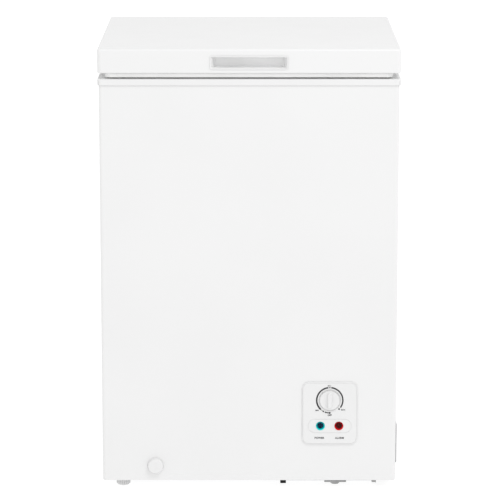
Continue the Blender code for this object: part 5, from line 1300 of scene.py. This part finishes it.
class FREEZER_OT_basket(PieceOperator, bpy.types.Operator):
    """Makes the coated wire basket"""

    bl_idname = "freezer.basket"
    bl_label = "Basket"

    def build(self, context):
        sizes = context.scene.freezer_sizes
        x0, x1, y0, y1, z0, z1 = span("basket")
        radius = sizes.wire_radius
        coat = look("coated_wire")
        hook_out, slope, thick = 0.011, 0.008, 0.0024
        by0, by1 = y0 + hook_out, y1 - hook_out
        top = z1 - thick
        low = z0 + radius

        def ring(inset, z):
            return [(a, b, z) for a, b in rounded(
                x0 + inset, x1 - inset, by0 + inset, by1 - inset, 0.028 - inset / 2, steps=8)]

        rims = wires("basket_rims", [ring(thick, top)], coat, thick, 0.0, 12, (0,))
        inner = thick + 0.0002
        bands = [ring(inner + slope * share, top - (top - low) * share) for share in (0.36, 0.68, 0.97)]
        paths = bands
        cx, cy = (x0 + x1) / 2, (by0 + by1) / 2

        def hoops(along_x, start, end, count):
            made = []
            for i in range(count):
                edge = start + (end - start) * i / (count - 1)
                a0, a1 = (x0, x1) if along_x else (by0, by1)
                centre = cy if along_x else cx
                lower = edge + (centre - edge) * slope / ((by1 - by0 if along_x else x1 - x0) / 2)
                ends = [(a0 + thick, edge, top), (a0 + thick + slope, lower, low),
                        (a1 - thick - slope, lower, low), (a1 - thick, edge, top)]
                made.append([(p, q, z) if along_x else (q, p, z) for p, q, z in ends])
            return made

        corner = 0.034
        across = max(3, round((by1 - by0 - 2 * corner) / sizes.wire_pitch))
        along = max(3, round((x1 - x0 - 2 * corner) / sizes.wire_pitch))
        paths += hoops(True, by0 + corner, by1 - corner, across + 1)
        paths += hoops(False, x0 + corner, x1 - corner, along + 1)
        mesh = wires("basket_mesh", paths, coat, radius, 0.012, 8, (0, 1, 2))
        hooks = []
        hook_z = z1 - radius * 1.3
        for x in (x0 + 0.045, x1 - 0.045):
            for rim_y, end_y in ((by0 + thick, y0 + radius * 1.2), (by1 - thick, y1 - radius * 1.2)):
                for dx in (-0.018, 0.018):
                    hooks.append([
                        (x + dx, rim_y, top - 0.024), (x + dx, rim_y, hook_z), (x + dx, end_y, hook_z)])
                hooks.append([(x + dx, end_y, hook_z) for dx in (-0.018, 0.018)])
        hangers = wires("basket_hooks", hooks, coat, radius * 1.15, 0.004, 8)
        basket = gather("basket_wires", [rims, mesh, hangers], coat)
        basket.data.shade_smooth()
        basket.data.set_sharp_from_angle(angle=WIRE_ANGLE)
        settle(basket, "basket", "basket")


class FREEZER_OT_cooling(PieceOperator, bpy.types.Operator):
    """Dresses the compressor, its mounts, its pipes and the two coils"""

    bl_idname = "freezer.cooling"
    bl_label = "Cooling system"

    def build(self, context):
        refine("compressor", "cabinet", look("black_enamel"), "compressor_pot", 0.0, TURNED_ANGLE)
        for number in range(1, 5):
            refine(f"compressor_grommet_{number}", "cabinet", look("rubber"),
                   f"compressor_mount_{number}", 0.0004, SOFT_ANGLE)
        refine("terminal_cover", "cabinet", look("black_plastic"), "terminal_cover_cap", 0.0006)
        copper, steel = look("copper"), look("zinc")
        for node, finish in (
                ("suction_pipe", copper), ("discharge_pipe", copper), ("filter_drier", copper),
                ("capillary_tube", copper), ("evaporator_coil", copper), ("condenser_coil", steel)):
            refine(node, "cabinet", finish, f"{node}_run", 0.0, WIRE_ANGLE)
        for node in ("mains_wiring", "control_wiring"):
            refine(node, "cabinet", look("cable"), f"{node}_run", 0.0, WIRE_ANGLE)
        self.plate()

    def plate(self):
        refine("compressor_base_plate", "cabinet", look("zinc"), "compressor_base_sheet", 0.0003)
        x0, x1, y0, y1, z0, z1 = span("compressor_base_plate")
        under = z1 - 0.0012
        spots = [(x, y, under) for x in (x0 + 0.010, x1 - 0.010) for y in (y0 + 0.012, y1 - 0.012)]
        fasten("compressor_base_bolts", "cabinet", spots, "-Z", 0.0045, 0.0028)
        # Two buffer clips at the plate's front corners. The left one's black is painted shade, standing
        # for the shadowed corner of the plate; the right one is grey plastic
        for name, near, far, drop, finish in (
                ("left", x0 - 0.006, x0 + 0.005, 0.0, look("rubber")),
                ("right", x1 - 0.0085, x1, 0.002, look("pad"))):
            clip = block(f"base_buffer_{name}", near, far, y0 - 0.0004, y0 + 0.016, z0 - 0.0006 + drop,
                         z1 - 0.0002, finish)
            settle(polish(clip, 0.0008), "cabinet")
        heads = []
        for number in range(1, 5):
            spot = middle(f"compressor_grommet_{number}")
            heads.append((spot.x, spot.y, span(f"compressor_grommet_{number}")[5] + 0.0033))
        fasten("compressor_foot_bolts", "cabinet", heads, "+Z", 0.0055, 0.003)


class FREEZER_OT_rear_cover(PieceOperator, bpy.types.Operator):
    """Makes the louvred rear cover, its screws and the cord gland"""

    bl_idname = "freezer.rear_cover"
    bl_label = "Rear cover"

    def build(self, context):
        x0, x1, y0, y1, z0, z1 = span("rear_cover")
        enamel = look("enamel")
        gland = middle("cord_gland")

        cover = slab("rear_cover_sheet", rounded(x0, x1, z0, z1, 0.004, steps=6), y0, y1, enamel, "Y")
        hole = bore(gland, 0.0083, y0 - REACH, y1 + REACH, enamel)
        count = context.scene.freezer_sizes.louvres
        low, high = z0 + 0.070, z1 - 0.022
        pitch = (high - low) / (count - 1)
        slots = [block(f"slot{i}", x0 + 0.026, x1 - 0.026, y0 - REACH, y1 + REACH,
                       low + pitch * i - 0.0040, low + pitch * i - 0.0008, enamel) for i in range(count)]
        carve(cover, [hole] + slots)
        settle(polish(cover, 0.0002, 2), "cabinet", "rear_cover")
        length = x1 - x0 - 0.048
        hoods = grow("rear_cover_louvres", [((x0 + x1) / 2, y1 - 0.0001, low)], [], slat_tree(enamel), {
            "Count": count, "Pitch": (0.0, 0.0, pitch), "Length": length, "Hood Radius": 0.0052,
            "Flatten": 0.75, "Turn": (0.0, 0.0, 0.0)}, enamel)
        settle(hoods, "cabinet")
        levels = (z0 + 0.010, (z0 + z1) / 2, z1 - 0.010)
        spots = [(x, y1, z) for x in (x0 + 0.009, x1 - 0.009) for z in levels]
        fasten("rear_cover_screws", "cabinet", spots, "+Y", 0.0038, 0.0020)
        _, _, gy0, gy1, _, _ = span("cord_gland")
        bush = lathe("cord_gland_bush", [
            (0.0040, gy0), (0.0078, gy0), (0.0080, gy0 + 0.0004), (0.0080, y1 + CLOSE),
            (0.0110, y1 + CLOSE), (0.0110, y1 + 0.0018), (0.0104, y1 + 0.0025), (0.0072, y1 + 0.0030),
            (0.0066, gy1 - 0.0020), (0.0060, gy1), (0.0044, gy1), (0.0040, gy1 - 0.0006)],
            (gland.x, 0.0, gland.z), look("black_plastic"), "Y", 40)
        settle(polish(bush, angle=TURNED_ANGLE), "cabinet", "cord_gland")


class FREEZER_OT_side_vent(PieceOperator, bpy.types.Operator):
    """Makes the hooded vent on the right side"""

    bl_idname = "freezer.side_vent"
    bl_label = "Side vent"

    def build(self, context):
        x0, x1, y0, y1, z0, z1 = span("side_vent_grille")
        plastic = look("vent")
        wall = span("outer_shell")[1] + CLOSE
        proud = x1 - wall
        base = 0.0022
        frame_plate = stack("side_vent_louvre", inward(y0, y1, z0, z1, 0.005, steps=8), [
            (0.0, wall), (0.0, wall + base - 0.0005), (0.0005, wall + base)], plastic, axis="X")
        inset = 0.006
        insert = block(
            "insert", x0, wall + 0.0004, y0 + inset, y1 - inset, z0 + inset, z1 - inset, plastic)
        weld_on(frame_plate, [insert])
        count = 7
        low, high = z0 + 0.012, z1 - 0.012
        pitch = (high - low) / (count - 1)
        slots = [block(f"slot{i}", x0 - REACH, x1 + REACH, y0 + 0.010, y1 - 0.010,
                       low + pitch * i - 0.0040, low + pitch * i - 0.0010, plastic)
                 for i in range(count)]
        carve(frame_plate, slots)
        settle(polish(frame_plate, 0.0002, 2), "cabinet", "side_vent_grille")
        hood = 0.0046
        start = (wall + base * 0.6, (y0 + y1) / 2, low)
        hoods = grow("side_vent_hoods", [start], [], slat_tree(plastic), {
            "Count": count, "Pitch": (0.0, 0.0, pitch), "Length": y1 - y0 - 0.016,
            "Hood Radius": hood, "Flatten": (proud - base) / hood,
            "Turn": (0.0, 0.0, -math.pi / 2)}, plastic)
        settle(hoods, "cabinet")


# Stage

class FREEZER_OT_stage(PieceOperator, bpy.types.Operator):
    """Lays the pale floor and sets the soft light and the camera"""

    bl_idname = "freezer.stage"
    bl_label = "Studio"

    def build(self, context):
        scene = context.scene
        studio = scene.freezer_studio
        scene.view_settings.view_transform = "Standard"
        self.floor()
        world = bpy.data.worlds.new("studio")
        world.use_nodes = True
        background = world.node_tree.nodes["Background"]
        background.inputs["Color"].default_value = (1.0, 1.0, 1.0, 1.0)
        background.inputs["Strength"].default_value = studio.sky
        scene.world = world
        self.lamp("key_light", place=(1.3, -2.4, 4.0), target=(0.0, 0.0, 0.45), size=2.0,
                  power=studio.lamp)
        camera = bpy.data.objects.new("camera", bpy.data.cameras.new("camera"))
        scene.collection.objects.link(camera)
        camera.location = (0.0017, span("lid_shell")[2] - studio.camera_away, studio.camera_up)
        camera.rotation_euler = (math.pi / 2 - studio.camera_pitch, 0.0, 0.0)
        camera.data.lens = studio.lens
        camera.data.sensor_width = 36.0
        camera.data.clip_start = 0.05
        camera.data.clip_end = 200.0
        scene.camera = camera

    def floor(self):
        made, tree, shader, place = start_look("pale_floor", Roughness=0.9)
        stops = [(0.3, (0.15, 0.15, 0.15)), (0.7, (0.17, 0.17, 0.17))]
        tone = ramp(tree, cloud(tree, place, 0.8), stops)
        tree.links.new(tone, shader.inputs["Base Color"])
        shader.inputs["Emission Color"].default_value = (1.0, 1.0, 1.0, 1.0)
        shader.inputs["Emission Strength"].default_value = 0.90
        data = bpy.data.meshes.new("floor")
        half = 30.0
        corners = [(x * half, y * half, 0.0) for x, y in ((-1, -1), (1, -1), (1, 1), (-1, 1))]
        data.from_pydata(corners, [], [(0, 1, 2, 3)])
        link("floor", data, made)

    def lamp(self, name, place, target, size, power):
        light = bpy.data.lights.new(name, "AREA")
        light.shape = "DISK"
        light.size = size
        light.energy = power
        made = bpy.data.objects.new(name, light)
        bpy.context.scene.collection.objects.link(made)
        made.location = place
        made.rotation_euler = (Vector(target) - Vector(place)).to_track_quat("-Z", "Y").to_euler()


PIECES = (
    FREEZER_OT_stage, FREEZER_OT_shell, FREEZER_OT_collar, FREEZER_OT_liner, FREEZER_OT_panels,
    FREEZER_OT_lid, FREEZER_OT_handle, FREEZER_OT_hinges, FREEZER_OT_control_panel,
    FREEZER_OT_thermostat, FREEZER_OT_drain, FREEZER_OT_feet, FREEZER_OT_basket,
    FREEZER_OT_cooling, FREEZER_OT_rear_cover, FREEZER_OT_side_vent)


class FREEZER_PT_sidebar(bpy.types.Panel):
    """Lists the freezer's pieces and their settings"""

    bl_label = "Freezer"
    bl_idname = "FREEZER_PT_sidebar"
    bl_space_type = "VIEW_3D"
    bl_region_type = "UI"
    bl_category = "Freezer"

    def draw(self, context):
        for name, _ in GROUPS:
            group = getattr(context.scene, name)
            box = self.layout.box()
            for key in group.bl_rna.properties.keys():
                if key not in ("rna_type", "name"):
                    box.prop(group, key)
        for piece in PIECES:
            self.layout.operator(piece.bl_idname)


GROUPS = (
    ("freezer_finishes", FreezerFinishes), ("freezer_sizes", FreezerSizes),
    ("freezer_studio", FreezerStudio))


def register():
    for name, group in GROUPS:
        bpy.utils.register_class(group)
        setattr(bpy.types.Scene, name, bpy.props.PointerProperty(type=group))
    for piece in (*PIECES, FREEZER_PT_sidebar):
        bpy.utils.register_class(piece)


def unregister():
    for piece in (FREEZER_PT_sidebar, *reversed(PIECES)):
        bpy.utils.unregister_class(piece)
    for name, group in reversed(GROUPS):
        delattr(bpy.types.Scene, name)
        bpy.utils.unregister_class(group)


def main():
    register()
    for piece in PIECES:
        name = piece.bl_idname.split(".")[1]
        getattr(bpy.ops.freezer, name)()


if __name__ == "__main__":
    main()
